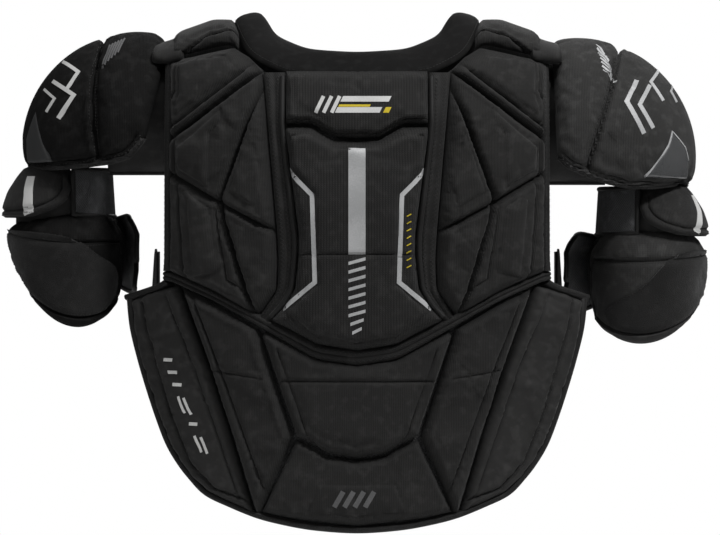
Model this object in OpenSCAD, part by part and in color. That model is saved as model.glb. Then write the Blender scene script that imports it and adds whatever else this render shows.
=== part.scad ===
// Ice hockey shoulder pads, senior medium.
// +Z is up, the wearer faces +Y, and the wearer's right arm is on +X.
// The origin is the centre of the neck opening, level with the low point of the back collar.

/* [Body form] */
// Half width of the body at the shoulder blades
chest_half = 196; // [184:1:208]
// Half width of the body at the waist
waist_half = 224; // [212:1:236]
// Depth of the back behind the side plane
back_depth = 112; // [104:1:120]
// Depth of the chest in front of the side plane
front_depth = 104; // [96:1:112]
// Half width of the front panels' body
front_half = 172; // [160:1:176]
// Roundness of the body's plan: 2 is an ellipse, higher is boxier
plan_power = 2.6; // [2.2:0.1:3]

/* [Padding] */
// Thickness of the shoulder blade and spine pads
pad_t = 14; // [8:1:18]
// Thickness of the apron pads
apron_t = 12; // [8:1:16]
// Thickness of the chest and belly pads
chest_t = 14; // [8:1:18]
// Thickness of the inner lining
liner_t = 5; // [3:0.5:5]
// Thickness of the stitched edge tape
tape_t = 5; // [3:0.5:7]

/* [Back] */
// Half width of the back between the armholes
back_half = 169; // [160:1:172]
// Half width of the spine pad
spine_half = 60; // [52:1:62]
// Width of the tape beside the spine pad, at its middle
spine_tape_w = 10; // [8:1:11]
// Seam between the back and the apron at the spine, below the neck
waist_drop = 277; // [270:1:284]
// Bottom of the apron, below the neck
apron_drop = 430; // [420:1:440]
// Clear gap along the flexible waist seam
waist_gap = 8; // [6:1:10]

/* [Neck] */
// Thickness of the collar
collar_t = 10; // [6:1:12]

/* [Shoulder caps] */
// Outer radius of the shoulder caps, seen from behind
cap_r = 102; // [96:1:104]
// Half depth of the shoulder caps, front to back
cap_depth = 88; // [80:1:94]
// Distance of the cap centres from the middle
cap_x = 201; // [198:1:206]
// Height of the left cap's centre
left_cap_z = -86; // [-92:1:-82]
// Height of the right cap's centre
right_cap_z = -95; // [-100:1:-88]
// Angle of the left cap's lower rim below its centre
left_cap_rim = 12; // [8:1:16]
// Angle of the right cap's lower rim below its centre
right_cap_rim = 16; // [8:1:18]
// Thickness of the cap padding
cap_pad_t = 12; // [8:1:14]
// Thickness of the hard cap insert
cap_insert_t = 2.5; // [1.5:0.5:3]

/* [Arms] */
// Distance of the arm guards from the middle
arm_x = 265; // [264:1:270]
// Height of the top of the left arm guard
left_guard_z = -112; // [-116:1:-111]
// Height of the top of the right arm guard
right_guard_z = -129; // [-132:1:-128]
// Half width of the arm guards at the top
guard_top = 41; // [36:1:43]
// Half width of the arm guards at the lower rim
guard_rim = 56; // [50:1:58]
// Height of the arm guards
guard_h = 38; // [30:1:40]
// Extra half depth of the arm openings, front to back
arm_deep = 8; // [4:1:10]
// Thickness of the arm wraps
wrap_t = 9; // [6:1:10]
// Lean of the arm wraps' lower rim from level, in degrees
wrap_lean = 44; // [36:1:48]

/* [Straps] */
// Width of the side straps
strap_w = 36; // [30:1:40]
// Thickness of the side straps
strap_t = 2.5; // [2:0.5:3]
// Reach of the side straps from back to front
strap_reach = 119; // [108:1:123]

/* [Hidden] */

fabric = "#2b2c2e";
fabric_dark = "#1b1c1e";
stretch_fabric = "#333537";
mesh_grey = "#5a5c5e";
plastic_grey = "#8b8e90";

// Padding depth at which the outlines of the pads are given
nominal_d = 12;
// Depth of the linings' outer faces below the pads
liner_gap = 1.4;
// Inner half width of the arm wraps
wrap_r = 46;

// A value between p and q
function mix(p, q, t) = p + (q - p) * t;

// Height of a pad's face above its base: full in the middle and thin at the rims
function pillow(u, v) = min(1, 0.35 + 5 * min(u, 1 - u, v, 1 - v));

// Half width and depth of the body at height z
function body_half(z) = lookup(z, [[-440, waist_half - 30], [-330, waist_half - 12],
    [-240, waist_half], [-150, chest_half + 2], [-60, chest_half], [20, chest_half - 14]]);
function back_reach(z) = back_depth * lookup(z, [[-440, 0.90], [-330, 0.94], [-240, 1.0],
    [-140, 1.05], [-60, 0.97], [-22, 0.84], [0, 0.72], [10, 0.66]]);
function front_reach(z) = front_depth * lookup(z, [[-440, 0.92], [-300, 0.98], [-160, 1.04],
    [-80, 0.95], [-40, 0.80], [0, 0.66]]);
function bulge(f) = pow(1 - pow(abs(f), plan_power), 1 / plan_power);

// A point d outside the back's form, and the same for the front
function back_pt(x, z, d) =
    let (half = body_half(z), f = x / (half + nominal_d))
    [(half + d) * f, -(back_reach(z) + d) * bulge(f), z];
function front_pt(x, z, d) =
    let (f = x / (front_half + nominal_d))
    [(front_half + d) * f, (front_reach(z) + d) * bulge(f), z];

// A curved slab between two grids of points. The direction of u crossed with v points out.
module slab(outer, inner, nu, nv) {
    layer = (nu + 1) * (nv + 1);
    id = function(k, i, j) k * layer + i * (nv + 1) + j;
    points = [for (face = [outer, inner], i = [0:nu], j = [0:nv]) face(i / nu, j / nv)];
    skin = [for (i = [0:nu - 1], j = [0:nv - 1]) each [
        [id(0, i, j), id(0, i, j + 1), id(0, i + 1, j + 1)],
        [id(0, i, j), id(0, i + 1, j + 1), id(0, i + 1, j)],
        [id(1, i, j), id(1, i + 1, j + 1), id(1, i, j + 1)],
        [id(1, i, j), id(1, i + 1, j), id(1, i + 1, j + 1)]]];
    ends = [for (j = [0:nv - 1]) each [
        [id(0, 0, j), id(1, 0, j + 1), id(0, 0, j + 1)],
        [id(0, 0, j), id(1, 0, j), id(1, 0, j + 1)],
        [id(0, nu, j), id(0, nu, j + 1), id(1, nu, j + 1)],
        [id(0, nu, j), id(1, nu, j + 1), id(1, nu, j)]]];
    sides = [for (i = [0:nu - 1]) each [
        [id(0, i, 0), id(0, i + 1, 0), id(1, i + 1, 0)],
        [id(0, i, 0), id(1, i + 1, 0), id(1, i, 0)],
        [id(0, i, nv), id(1, i + 1, nv), id(0, i + 1, nv)],
        [id(0, i, nv), id(1, i, nv), id(1, i + 1, nv)]]];
    polyhedron(points, concat(skin, ends, sides));
}

// A pad on the back or the front. Its side edges are functions of v, which runs up,
// and its bottom and top edges are functions of u, which runs towards +X.
module back_panel(x_in, x_out, z_bottom, z_top, d0, d1, nu = 8, nv = 8, soft = true) {
    at = function(u, v, d) back_pt(mix(x_in(v), x_out(v), u), mix(z_bottom(u), z_top(u), v), d);
    slab(function(u, v) at(u, v, mix(d0, d1, soft ? pillow(u, v) : 1)),
         function(u, v) at(u, v, d0), nu, nv);
}
module front_panel(x_in, x_out, z_bottom, z_top, d0, d1, nu = 8, nv = 8, soft = true) {
    at = function(u, v, d)
        front_pt(mix(x_in(v), x_out(v), 1 - u), mix(z_bottom(1 - u), z_top(1 - u), v), d);
    slab(function(u, v) at(u, v, mix(d0, d1, soft ? pillow(u, v) : 1)),
         function(u, v) at(u, v, d0), nu, nv);
}

// Height of the waist seam at x, which is a wide V from armhole to armhole
function waist_seam(x) = lookup(abs(x), [[0, -waist_drop], [36, -waist_drop + 5],
    [84, -waist_drop + 31], [128, -waist_drop + 55], [170, -waist_drop + 74]]);
// Top edge of the apron's wing beyond the armhole
function wing_top(x) = lookup(abs(x), [[170, -waist_drop + 74 - waist_gap], [208, -waist_drop + 54]]);
// Half width of the apron at height z
function apron_edge(z) = lookup(z, [[-apron_drop + 10, 95], [-apron_drop + 28, 140],
    [-apron_drop + 56, 161], [-apron_drop + 100, 180], [-apron_drop + 164, 198], [-222, 204]]);
// Lower rim of the apron at x
function apron_rim(x) = lookup(abs(x), [[0, -apron_drop], [88, -apron_drop + 12], [140, -apron_drop + 28]]);

// Top edge of the back at x: the yoke seam, then the collar's lower edge
function yoke_seam(x) = lookup(x, [[70, -22], [88, -14], [114, 6], [150, -2], [170, -6]]);

/* Back */

module back_liner() {
    bottom = function(u) waist_seam(mix(-back_half, back_half, u)) + waist_gap;
    top = function(u) let (x = abs(mix(-back_half, back_half, u))) x > 70 ? yoke_seam(x) - 5 : -31;
    color(mesh_grey)
    back_panel(function(v) -back_half, function(v) back_half, bottom, top,
               -liner_t, -liner_gap, nu = 20, nv = 12, soft = false);
}

// Stiff plate inside the back that spreads a blow to the spine
module spine_plate() {
    color(plastic_grey)
    back_panel(function(v) -42, function(v) 42, function(u) -248, function(u) -90,
               0, 2.5, nu = 8, nv = 8, soft = false);
}

module upper_spine_pad() {
    bottom = function(u) lookup(abs(2 * u - 1), [[0, -80], [0.3, -79], [0.62, -67], [1, -66]]);
    color(fabric)
    back_panel(function(v) -spine_half - 3, function(v) spine_half + 3, bottom, function(u) -32,
               0.3, pad_t - 2, nu = 10, nv = 4);
}

module spine_pad() {
    edge = function(v) lookup(v, [[0, spine_half + 18], [0.14, spine_half + 2],
                                  [0.3, spine_half - 2], [1, spine_half + 2]]);
    bottom = function(u) waist_seam((2 * u - 1) * (spine_half + 18)) + waist_gap / 2;
    top = function(u) lookup(abs(2 * u - 1), [[0, -82], [0.3, -81], [0.62, -69], [1, -68]]);
    color(fabric)
    back_panel(function(v) -edge(v), edge, bottom, top, 3, pad_t, nu = 12, nv = 12);
}

module scapula_pad() {
    inner = function(v) lookup(v, [[0, spine_half + 28], [0.2, spine_half + spine_tape_w + 4],
                                   [0.5, spine_half + spine_tape_w + 2], [1, spine_half + 25]]);
    bottom = function(u) waist_seam(mix(spine_half + 28, back_half, u)) + waist_gap / 2;
    top = function(u) yoke_seam(mix(spine_half + 25, back_half, u)) - 3;
    color(fabric)
    back_panel(inner, function(v) back_half, bottom, top, 0.3, pad_t, nu = 8, nv = 14);
}

module spine_tape() {
    inner = function(v) lookup(v, [[0, spine_half + 19], [0.14, spine_half + 3],
                                   [0.3, spine_half], [1, spine_half + 5]]);
    outer = function(v) lookup(v, [[0, spine_half + 26.5], [0.17, spine_half + spine_tape_w + 2],
                                   [0.5, spine_half + spine_tape_w], [1, spine_half + 22]]);
    color(fabric_dark)
    back_panel(inner, outer, function(u) mix(-243, -238, u), function(u) mix(-26, -20, u),
               0.3, tape_t, nu = 2, nv = 16);
}

module armhole_tape() {
    color(fabric_dark)
    back_panel(function(v) back_half + 1.5, function(v) back_half + 9,
               function(u) -198, function(u) -10, -liner_t, tape_t + 2, nu = 2, nv = 14);
}

/* Collar and yokes */

// Inner and outer edges of the collar at an angle round the neck, where 0 is the back
function collar_inner(a) = [
    lookup(a, [[0, 0], [30, 44], [60, 74], [75, 81], [90, 88], [120, 80], [150, 52], [172, 16]]),
    lookup(a, [[0, -66], [30, -57], [60, -34], [75, -17], [90, 0], [120, 38], [150, 62], [172, 72]]),
    lookup(a, [[0, -2], [30, 1], [60, 14], [75, 28], [90, 38], [120, 12], [150, -28], [172, -48]])];
function collar_outer(a) = [
    lookup(a, [[0, 0], [30, 64], [60, 100], [75, 110], [90, 113], [120, 108], [150, 76], [172, 26]]),
    lookup(a, [[0, -99], [30, -95], [60, -80], [75, -44], [90, 0], [120, 50], [150, 84], [172, 92]]),
    lookup(a, [[0, -26], [30, -23], [60, -4], [75, 18], [90, 32], [120, 2], [150, -50], [172, -78]])];
function unit(p) = p / norm(p);
function mirror_x(p) = [-p[0], p[1], p[2]];
function collar_edge(edge, a) = a < 0 ? mirror_x(edge(-a)) : edge(a);

// A band of collar from angle a0 to a1, six-sided in section
module collar_band(a0, a1, steps) {
    half_t = collar_t / 2;
    section = [[0, 0], [0.2, 1], [0.8, 1], [1, 0], [0.8, -1], [0.2, -1]];
    inner = function(a) collar_edge(function(b) collar_inner(b), a);
    outer = function(a) collar_edge(function(b) collar_outer(b), a);
    ring = function(a)
        let (along = unit(inner(a + 1) + outer(a + 1) - inner(a - 1) - outer(a - 1)),
             out = unit(cross(outer(a) - inner(a), along)))
        [for (s = section) mix(inner(a), outer(a), s[0]) + out * half_t * s[1]];
    n = len(section);
    points = [for (i = [0:steps]) each ring(mix(a0, a1, i / steps))];
    walls = [for (i = [0:steps - 1], j = [0:n - 1]) each [
        [i * n + j, (i + 1) * n + j, (i + 1) * n + (j + 1) % n],
        [i * n + j, (i + 1) * n + (j + 1) % n, i * n + (j + 1) % n]]];
    caps = [[for (j = [0:n - 1]) j], [for (j = [0:n - 1]) steps * n + n - 1 - j]];
    polyhedron(points, concat(walls, caps));
}

module back_collar() {
    color(fabric_dark)
    difference() {
        collar_band(-91, 91, 28);
        translate([-200, -0.4, -100]) cube([400, 100, 200]);
    }
}

module front_collar() {
    color(fabric_dark)
    difference() {
        collar_band(89, 171, 12);
        translate([-200, -99.6, -100]) cube([400, 100, 200]);
    }
}

// A point of the shoulder arch: q is 0 at the back seam, 1 on top and 2 at the front seam
function yoke_pt(x, q, d) =
    let (base = q < 1 ? yoke_seam(x) : mix(yoke_seam(x), -8, q - 1),
         rise = lookup(x, [[88, 20], [114, 12], [166, 6]]) + (q < 1 ? 0 : (q - 1) * 4),
         reach = lookup(x, [[88, 66], [166, 54]]))
    [x, -(reach + d) * cos(90 * q), base + (rise + d) * sin(90 * q)];

module yoke(q0, q1) {
    x0 = 116;
    x1 = 166;
    at = function(u, v, d) yoke_pt(mix(x0, x1, u), mix(q0, q1, v), d);
    color(fabric)
    slab(function(u, v) at(u, v, mix(3, pad_t, pillow(u, v))), function(u, v) at(u, v, 1), 6, 8);
}
module yoke_pad() yoke(0.03, 0.985);
module front_yoke() yoke(1.015, 1.97);

/* Apron */

module apron_liner() {
    bottom = function(u) apron_rim(u * 400 - 200) + 8;
    top = function(u)
        let (x = (2 * u - 1) * 198)
        abs(x) > 170 ? wing_top(x) - 3 : waist_seam(x) - waist_gap;
    edge = function(v) apron_edge(mix(-apron_drop + 28, -222, v)) - 8;
    color(mesh_grey)
    back_panel(function(v) -edge(v), edge, bottom, top, -liner_t, -liner_gap, nu = 20, nv = 10, soft = false);
}

// Seam between the apron's wing and its flank
function wing_seam(v) = mix(90, 160, v);

module apron_wing() {
    z0 = -apron_drop + 14;
    edge = function(v) apron_edge(mix(z0, -224, v));
    top = function(u) mix(-waist_drop + 67, wing_top(204) - 3, pow(u, 2));
    color(stretch_fabric)
    back_panel(function(v) wing_seam(v) + 1.5, edge, function(u) z0 + 4 * u, top,
               0.3, apron_t - 3, nu = 6, nv = 14);
}

module apron_flank() {
    inner = function(v) lookup(v, [[0, 86], [0.36, 58], [0.45, 57], [1, 90]]);
    bottom = function(u) -apron_drop + 14;
    top = function(u) waist_seam(mix(90, 158, u)) - waist_gap / 2;
    color(fabric)
    back_panel(inner, function(v) wing_seam(v), bottom, top, 0.3, apron_t, nu = 6, nv = 14);
}

module lumbar_pad() {
    edge = function(v) mix(54, 84, v);
    bottom = function(u) lookup(abs(2 * u - 1), [[0, -367], [0.6, -362], [1, -351]]);
    top = function(u) waist_seam((2 * u - 1) * 84) - waist_gap / 2;
    color(fabric)
    back_panel(function(v) -edge(v), edge, bottom, top, 0.3, apron_t, nu = 12, nv = 8);
}

module tail_pad() {
    edge = function(v) mix(83, 54, v);
    bottom = function(u) apron_rim((2 * u - 1) * 83) + 3;
    top = function(u) lookup(abs(2 * u - 1), [[0, -370], [0.6, -365], [1, -354]]);
    color(fabric)
    back_panel(function(v) -edge(v), edge, bottom, top, 0.3, apron_t - 2, nu = 12, nv = 6);
}

// The tape round the apron's rim, from wing corner to wing corner
module apron_tape() {
    corner_z = -226;
    rim = function(t)
        let (s = abs(t), side = s > 0.35, z = mix(-apron_drop + 28, corner_z, (s - 0.35) / 0.65))
        side ? [sign(t) * apron_edge(z), z] : [t / 0.35 * 140, apron_rim(t / 0.35 * 140)];
    outward = function(t)
        let (dir = rim(t + 0.01) - rim(t - 0.01)) unit([-dir[1], dir[0]]);
    at = function(u, v, d)
        let (t = mix(-0.99, 0.99, u), p = rim(t) - outward(t) * mix(5.5, 1, v))
        back_pt(p[0], p[1], d);
    color(fabric_dark)
    slab(function(u, v) at(u, v, tape_t), function(u, v) at(u, v, -liner_t), 44, 1);
}

/* Front */

function chest_edge(v) = lookup(v, [[0, 172], [0.35, 158], [0.6, 140], [1, 146]]);
function chest_top(u) = lookup(u, [[0, -92], [0.3, -70], [0.62, -22], [1, -18]]);

module chest_liner() {
    top = function(u) chest_top(max(0, (abs(2 * u - 1) * 146 - 30) / 116)) - 6;
    color(mesh_grey)
    front_panel(function(v) -chest_edge(v), function(v) chest_edge(v), function(u) -234, top,
                -liner_t, -liner_gap, nu = 20, nv = 8, soft = false);
}

module chest_pad() {
    color(fabric)
    front_panel(function(v) 31, function(v) chest_edge(v) + 3, function(u) -236, function(u) chest_top(u),
                0.3, chest_t, nu = 8, nv = 10);
}

module sternum_pad() {
    color(fabric_dark)
    front_panel(function(v) -29, function(v) 29, function(u) -232, function(u) -102,
                0.3, chest_t + 3, nu = 6, nv = 8);
}

module belly_liner() {
    color(mesh_grey)
    front_panel(function(v) -mix(120, 156, v), function(v) mix(120, 156, v),
                function(u) -376, function(u) -246, -liner_t, -liner_gap, nu = 12, nv = 6, soft = false);
}

module belly_pad() {
    color(fabric)
    front_panel(function(v) -mix(124, 160, v), function(v) mix(124, 160, v),
                function(u) -380, function(u) -244, 0.3, chest_t, nu = 12, nv = 8);
}

/* Side straps */

strap_x = 185;
strap_root_y = -55;
strap_root_z = -244;
strap_climb = 48;

module side_strap() {
    top = strap_w / 2;
    color(fabric_dark)
    translate([strap_x, strap_root_y, strap_root_z])
    rotate([90, 0, 90])
    linear_extrude(strap_t)
    polygon([[0, -top], [strap_reach * 0.7, strap_climb - top], [strap_reach, strap_climb - top],
             [strap_reach, strap_climb + top], [strap_reach * 0.7, strap_climb + top], [0, top]]);
}

// The hook tab on the strap's free end
module strap_tab() {
    tab = strap_w - 6;
    color(plastic_grey)
    translate([strap_x - 2, strap_root_y + strap_reach - tab - 2, strap_root_z + strap_climb - tab / 2])
    cube([1.8, tab, tab]);
}

/* Shoulder caps: each is a slice of an ellipsoid with its poles in front and behind */

// lift is the angle up from the outer side, turn the angle from the back pole's plane
function cap_pt(cap_z, lift, turn, r) = [
    cap_x + r * cos(turn) * cos(lift),
    (cap_depth + r - cap_r) * sin(turn),
    cap_z + r * cos(turn) * sin(lift)];

module cap_slice(cap_z, lift0, lift1, turn0, turn1, r0, r1, nu, nv, soft = false) {
    at = function(u, v, r) cap_pt(cap_z, mix(lift0, lift1, v), mix(turn0, turn1, u), r);
    slab(function(u, v) at(u, v, mix(r0, r1, soft ? pillow(u, v) : 1)),
         function(u, v) at(u, v, r0), nu, nv);
}

module cap_insert(cap_z, rim) {
    r = cap_r - cap_pad_t - 0.4;
    color(plastic_grey)
    cap_slice(cap_z, 4 - rim, 98, -70, 70, r - cap_insert_t, r, 14, 8);
}

module cap_pad(cap_z, rim) {
    color(fabric)
    cap_slice(cap_z, 5 - rim, 105, -82, 82, cap_r - cap_pad_t, cap_r, 16, 10, soft = true);
}

// Stitched tape along the cap's lower rim
module cap_tape(cap_z, rim) {
    color(fabric_dark)
    cap_slice(cap_z, -rim, 4.4 - rim, -80, 80, cap_r - cap_pad_t, cap_r - 3, 16, 1);
}

// Moulded plastic wedge on the outer corner of the cap
module cap_wedge(cap_z, rim) {
    at = function(u, v, r)
        cap_pt(cap_z, mix(7 - rim, 38 - rim, v), mix(-48, mix(-14, -47, v), u), r);
    color(plastic_grey)
    slab(function(u, v) at(u, v, cap_r + 2), function(u, v) at(u, v, cap_r + 0.4), 4, 6);
}

// Stretch gusset that closes the sleeve under the arm
module sleeve(cap_z) {
    r = 60;
    color(stretch_fabric)
    translate([185, 0, cap_z + 37])
    rotate([90, 0, 90])
    rotate([0, 0, 180])
    rotate_extrude(angle = 180, $fn = 64)
    translate([r, 0]) square([2, 40]);
}

/* Arm guards and wraps: guard_z is the height of the guard's top */

// A point of the guard's flared tube: t runs down, a runs round from the outer side to the front
function guard_pt(guard_z, t, a, half) = [
    arm_x + half * cos(a), (half + arm_deep) * sin(a), guard_z - guard_h * t];

// A point of the wrap below the guard, whose lower rim leans up towards the outer side
function wrap_pt(guard_z, t, a, half) =
    let (lean = mix(4, wrap_lean, t),
         centre = [arm_x + 4 * t, 0, guard_z - guard_h - 7 - 62 * t],
         k = half + 5 * t)
    centre + [k * cos(a) * cos(lean), (k + arm_deep) * sin(a), k * cos(a) * sin(lean)];

module wrap_slice(guard_z, t0, t1, a0, a1, r0, r1, nu, nv) {
    at = function(u, v, r) wrap_pt(guard_z, mix(t1, t0, v), mix(a0, a1, u), r);
    slab(function(u, v) at(u, v, r1), function(u, v) at(u, v, r0), nu, nv);
}

// Flared flap that hangs from the cap over the outside of the arm
module arm_guard(guard_z) {
    wall = 6;
    at = function(u, v, d)
        guard_pt(guard_z, 1 - v, mix(-100, 100, u), mix(guard_rim, guard_top, v) - d);
    color(fabric)
    slab(function(u, v) at(u, v, 0), function(u, v) at(u, v, wall), 16, 3);
}

// Mesh lining of the guard, which goes on round the inside of the arm
module mesh_cuff(guard_z) {
    at = function(u, v, d) guard_pt(guard_z, 1 - v, mix(104, 256, u), 46 + d);
    color(mesh_grey)
    slab(function(u, v) at(u, v, 2.5), function(u, v) at(u, v, 0), 12, 2);
}

module arm_wrap(guard_z) {
    color(fabric)
    wrap_slice(guard_z, 0.06, 1, 3, 168, wrap_r, wrap_r + wrap_t, 14, 6);
}

module wrap_flap(guard_z) {
    color(fabric)
    wrap_slice(guard_z, 0.06, 1, -166, -3, wrap_r, wrap_r + wrap_t, 14, 6);
}

// Loop half of the hook-and-loop fastening, on the face of the flap
module loop_patch(guard_z) {
    face = wrap_r + wrap_t;
    color(fabric_dark)
    wrap_slice(guard_z, 0.35, 0.92, -128, -20, face + 0.4, face + 2, 10, 4);
}

// Elastic band inside the wrap
module arm_elastic(guard_z) {
    color(stretch_fabric)
    wrap_slice(guard_z, 0.45, 0.85, 120, 240, wrap_r - 3, wrap_r - 1.5, 10, 2);
}

// Bound mesh flap outside the wrap's inner end
module liner_flap(guard_z) {
    face = wrap_r + wrap_t;
    color(mesh_grey)
    wrap_slice(guard_z, 0.2, 0.9, 118, 176, face + 1, face + 3.5, 6, 4);
}

back_liner();
spine_plate();
upper_spine_pad();
spine_pad();
mirror([1, 0, 0]) scapula_pad();  // left_scapula_pad
scapula_pad();  // right_scapula_pad
mirror([1, 0, 0]) spine_tape();  // left_spine_tape
spine_tape();  // right_spine_tape
mirror([1, 0, 0]) armhole_tape();  // left_armhole_tape
armhole_tape();  // right_armhole_tape
back_collar();
mirror([1, 0, 0]) yoke_pad();  // left_yoke_pad
yoke_pad();  // right_yoke_pad
apron_liner();
mirror([1, 0, 0]) apron_wing();  // left_apron_wing
apron_wing();  // right_apron_wing
mirror([1, 0, 0]) apron_flank();  // left_apron_flank
apron_flank();  // right_apron_flank
lumbar_pad();
tail_pad();
apron_tape();
chest_liner();
mirror([1, 0, 0]) chest_pad();  // left_chest_pad
chest_pad();  // right_chest_pad
sternum_pad();
mirror([1, 0, 0]) front_collar();  // left_front_collar
front_collar();  // right_front_collar
mirror([1, 0, 0]) front_yoke();  // left_front_yoke
front_yoke();  // right_front_yoke
belly_pad();
belly_liner();
mirror([1, 0, 0]) side_strap();  // left_side_strap
mirror([1, 0, 0]) strap_tab();  // left_strap_tab
side_strap();  // right_side_strap
strap_tab();  // right_strap_tab
mirror([1, 0, 0]) cap_insert(left_cap_z, left_cap_rim);  // left_cap_insert
mirror([1, 0, 0]) cap_pad(left_cap_z, left_cap_rim);  // left_cap_pad
mirror([1, 0, 0]) cap_wedge(left_cap_z, left_cap_rim);  // left_cap_wedge
mirror([1, 0, 0]) cap_tape(left_cap_z, left_cap_rim);  // left_cap_tape
mirror([1, 0, 0]) sleeve(left_cap_z);  // left_sleeve
cap_insert(right_cap_z, right_cap_rim);  // right_cap_insert
cap_pad(right_cap_z, right_cap_rim);  // right_cap_pad
cap_wedge(right_cap_z, right_cap_rim);  // right_cap_wedge
cap_tape(right_cap_z, right_cap_rim);  // right_cap_tape
sleeve(right_cap_z);  // right_sleeve
mirror([1, 0, 0]) arm_guard(left_guard_z);  // left_arm_guard
mirror([1, 0, 0]) mesh_cuff(left_guard_z);  // left_mesh_cuff
mirror([1, 0, 0]) arm_wrap(left_guard_z);  // left_arm_wrap
mirror([1, 0, 0]) arm_elastic(left_guard_z);  // left_arm_elastic
mirror([1, 0, 0]) liner_flap(left_guard_z);  // left_liner_flap
arm_guard(right_guard_z);  // right_arm_guard
mesh_cuff(right_guard_z);  // right_mesh_cuff
arm_wrap(right_guard_z);  // right_arm_wrap
arm_elastic(right_guard_z);  // right_arm_elastic
liner_flap(right_guard_z);  // right_liner_flap
mirror([1, 0, 0]) wrap_flap(left_guard_z);  // left_wrap_flap
mirror([1, 0, 0]) loop_patch(left_guard_z);  // left_loop_patch
wrap_flap(right_guard_z);  // right_wrap_flap
loop_patch(right_guard_z);  // right_loop_patch
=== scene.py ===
"""Visual model of a set of ice hockey shoulder pads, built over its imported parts."""

import logging
import math
from dataclasses import dataclass
from enum import Enum
from typing import Callable, ClassVar, Optional, Sequence

import bmesh
import bpy
import numpy as np
from mathutils import Matrix, Vector
from mathutils.bvhtree import BVHTree
from mathutils.kdtree import KDTree


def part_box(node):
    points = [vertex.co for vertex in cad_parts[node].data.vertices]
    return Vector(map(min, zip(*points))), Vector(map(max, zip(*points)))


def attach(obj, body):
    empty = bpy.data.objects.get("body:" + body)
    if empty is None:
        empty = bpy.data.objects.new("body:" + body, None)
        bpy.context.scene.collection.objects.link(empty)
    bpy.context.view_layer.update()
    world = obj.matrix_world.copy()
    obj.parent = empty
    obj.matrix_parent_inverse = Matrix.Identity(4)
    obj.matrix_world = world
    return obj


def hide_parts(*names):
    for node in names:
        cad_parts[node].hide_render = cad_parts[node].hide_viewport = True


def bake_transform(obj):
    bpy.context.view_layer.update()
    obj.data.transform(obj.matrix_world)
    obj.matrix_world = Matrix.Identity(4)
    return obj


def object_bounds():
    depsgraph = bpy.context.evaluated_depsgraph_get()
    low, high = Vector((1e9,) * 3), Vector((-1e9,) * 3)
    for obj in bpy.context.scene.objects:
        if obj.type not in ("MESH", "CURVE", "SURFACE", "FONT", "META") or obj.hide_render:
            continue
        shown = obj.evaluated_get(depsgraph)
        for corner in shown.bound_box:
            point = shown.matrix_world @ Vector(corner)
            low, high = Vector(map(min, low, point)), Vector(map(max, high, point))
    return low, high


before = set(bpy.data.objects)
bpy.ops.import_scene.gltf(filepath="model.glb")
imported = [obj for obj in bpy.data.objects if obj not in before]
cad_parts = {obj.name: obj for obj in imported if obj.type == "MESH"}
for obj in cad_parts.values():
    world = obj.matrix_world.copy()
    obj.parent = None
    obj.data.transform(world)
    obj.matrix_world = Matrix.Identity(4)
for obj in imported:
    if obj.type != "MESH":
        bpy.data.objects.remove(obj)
CAD_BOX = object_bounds()

Array = np.ndarray
Path = Sequence[tuple[float, float]]
log = logging.getLogger("shoulder_pads")

MM = 0.001
CLOTH_UV = "cloth"
RELIEF = "relief"


class Side(Enum):
    """Side of the wearer's body, with its direction along X."""

    LEFT = -1
    RIGHT = 1

    @property
    def word(self) -> str:
        """Name of the side in node names."""
        return self.name.lower()


class Slot(Enum):
    """Material slots of the record."""

    KNIT = "knit_fabric"
    STRETCH = "stretch_fabric"
    TAPE = "edge_tape"
    NEOPRENE = "neoprene"
    MESH = "mesh_lining"
    LOOP = "hook_and_loop"
    PLASTIC = "plastic"


# ---------------------------------------------------------------- node graphs


class Graph:
    """A node tree being built, with short ways to add and join nodes."""

    def __init__(self, tree: bpy.types.NodeTree) -> None:
        """Starts on a tree.

        Args:
            tree: The node tree to fill.
        """
        self.tree = tree

    def add(self, kind: str, **settings: object) -> bpy.types.Node:
        """Adds a node.

        Args:
            kind: The node's type, without its prefix "ShaderNode".
            settings: Attributes to set on the node.

        Returns:
            The new node.
        """
        node = self.tree.nodes.new("ShaderNode" + kind)
        for key, value in settings.items():
            setattr(node, key, value)
        return node

    def put(self, value: object, socket: bpy.types.NodeSocket) -> None:
        """Joins a socket to an input, or sets the input to a number.

        Args:
            value: An output socket, or a value.
            socket: The input.
        """
        if isinstance(value, bpy.types.NodeSocket):
            self.tree.links.new(value, socket)
        else:
            socket.default_value = value

    def math(self, operation: str, *values: object) -> bpy.types.NodeSocket:
        """Adds a Math node.

        Args:
            operation: The node's operation.
            values: Its inputs, sockets or numbers.

        Returns:
            The node's output.
        """
        node = self.add("Math", operation=operation)
        for value, socket in zip(values, node.inputs):
            self.put(value, socket)
        return node.outputs[0]

    def span(
        self, value: object, low: float, high: float, to_low: float = 0.0, to_high: float = 1.0
    ) -> bpy.types.NodeSocket:
        """Maps a range smoothly onto another and clamps it.

        Args:
            value: The input.
            low: Start of the input range.
            high: End of the input range.
            to_low: Output at the start.
            to_high: Output at the end.

        Returns:
            The mapped output.
        """
        node = self.add("MapRange", interpolation_type="SMOOTHSTEP")
        for entry, socket in zip((value, low, high, to_low, to_high), node.inputs):
            self.put(entry, socket)
        return node.outputs[0]

    def mix(self, share: object, first: object, second: object) -> bpy.types.NodeSocket:
        """Mixes two colours.

        Args:
            share: Share of the second colour.
            first: The first colour, a socket or four numbers.
            second: The second colour.

        Returns:
            The mixed colour.
        """
        node = self.add("Mix", data_type="RGBA")
        self.put(share, node.inputs[0])
        self.put(first, node.inputs[6])
        self.put(second, node.inputs[7])
        return node.outputs[2]


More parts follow.
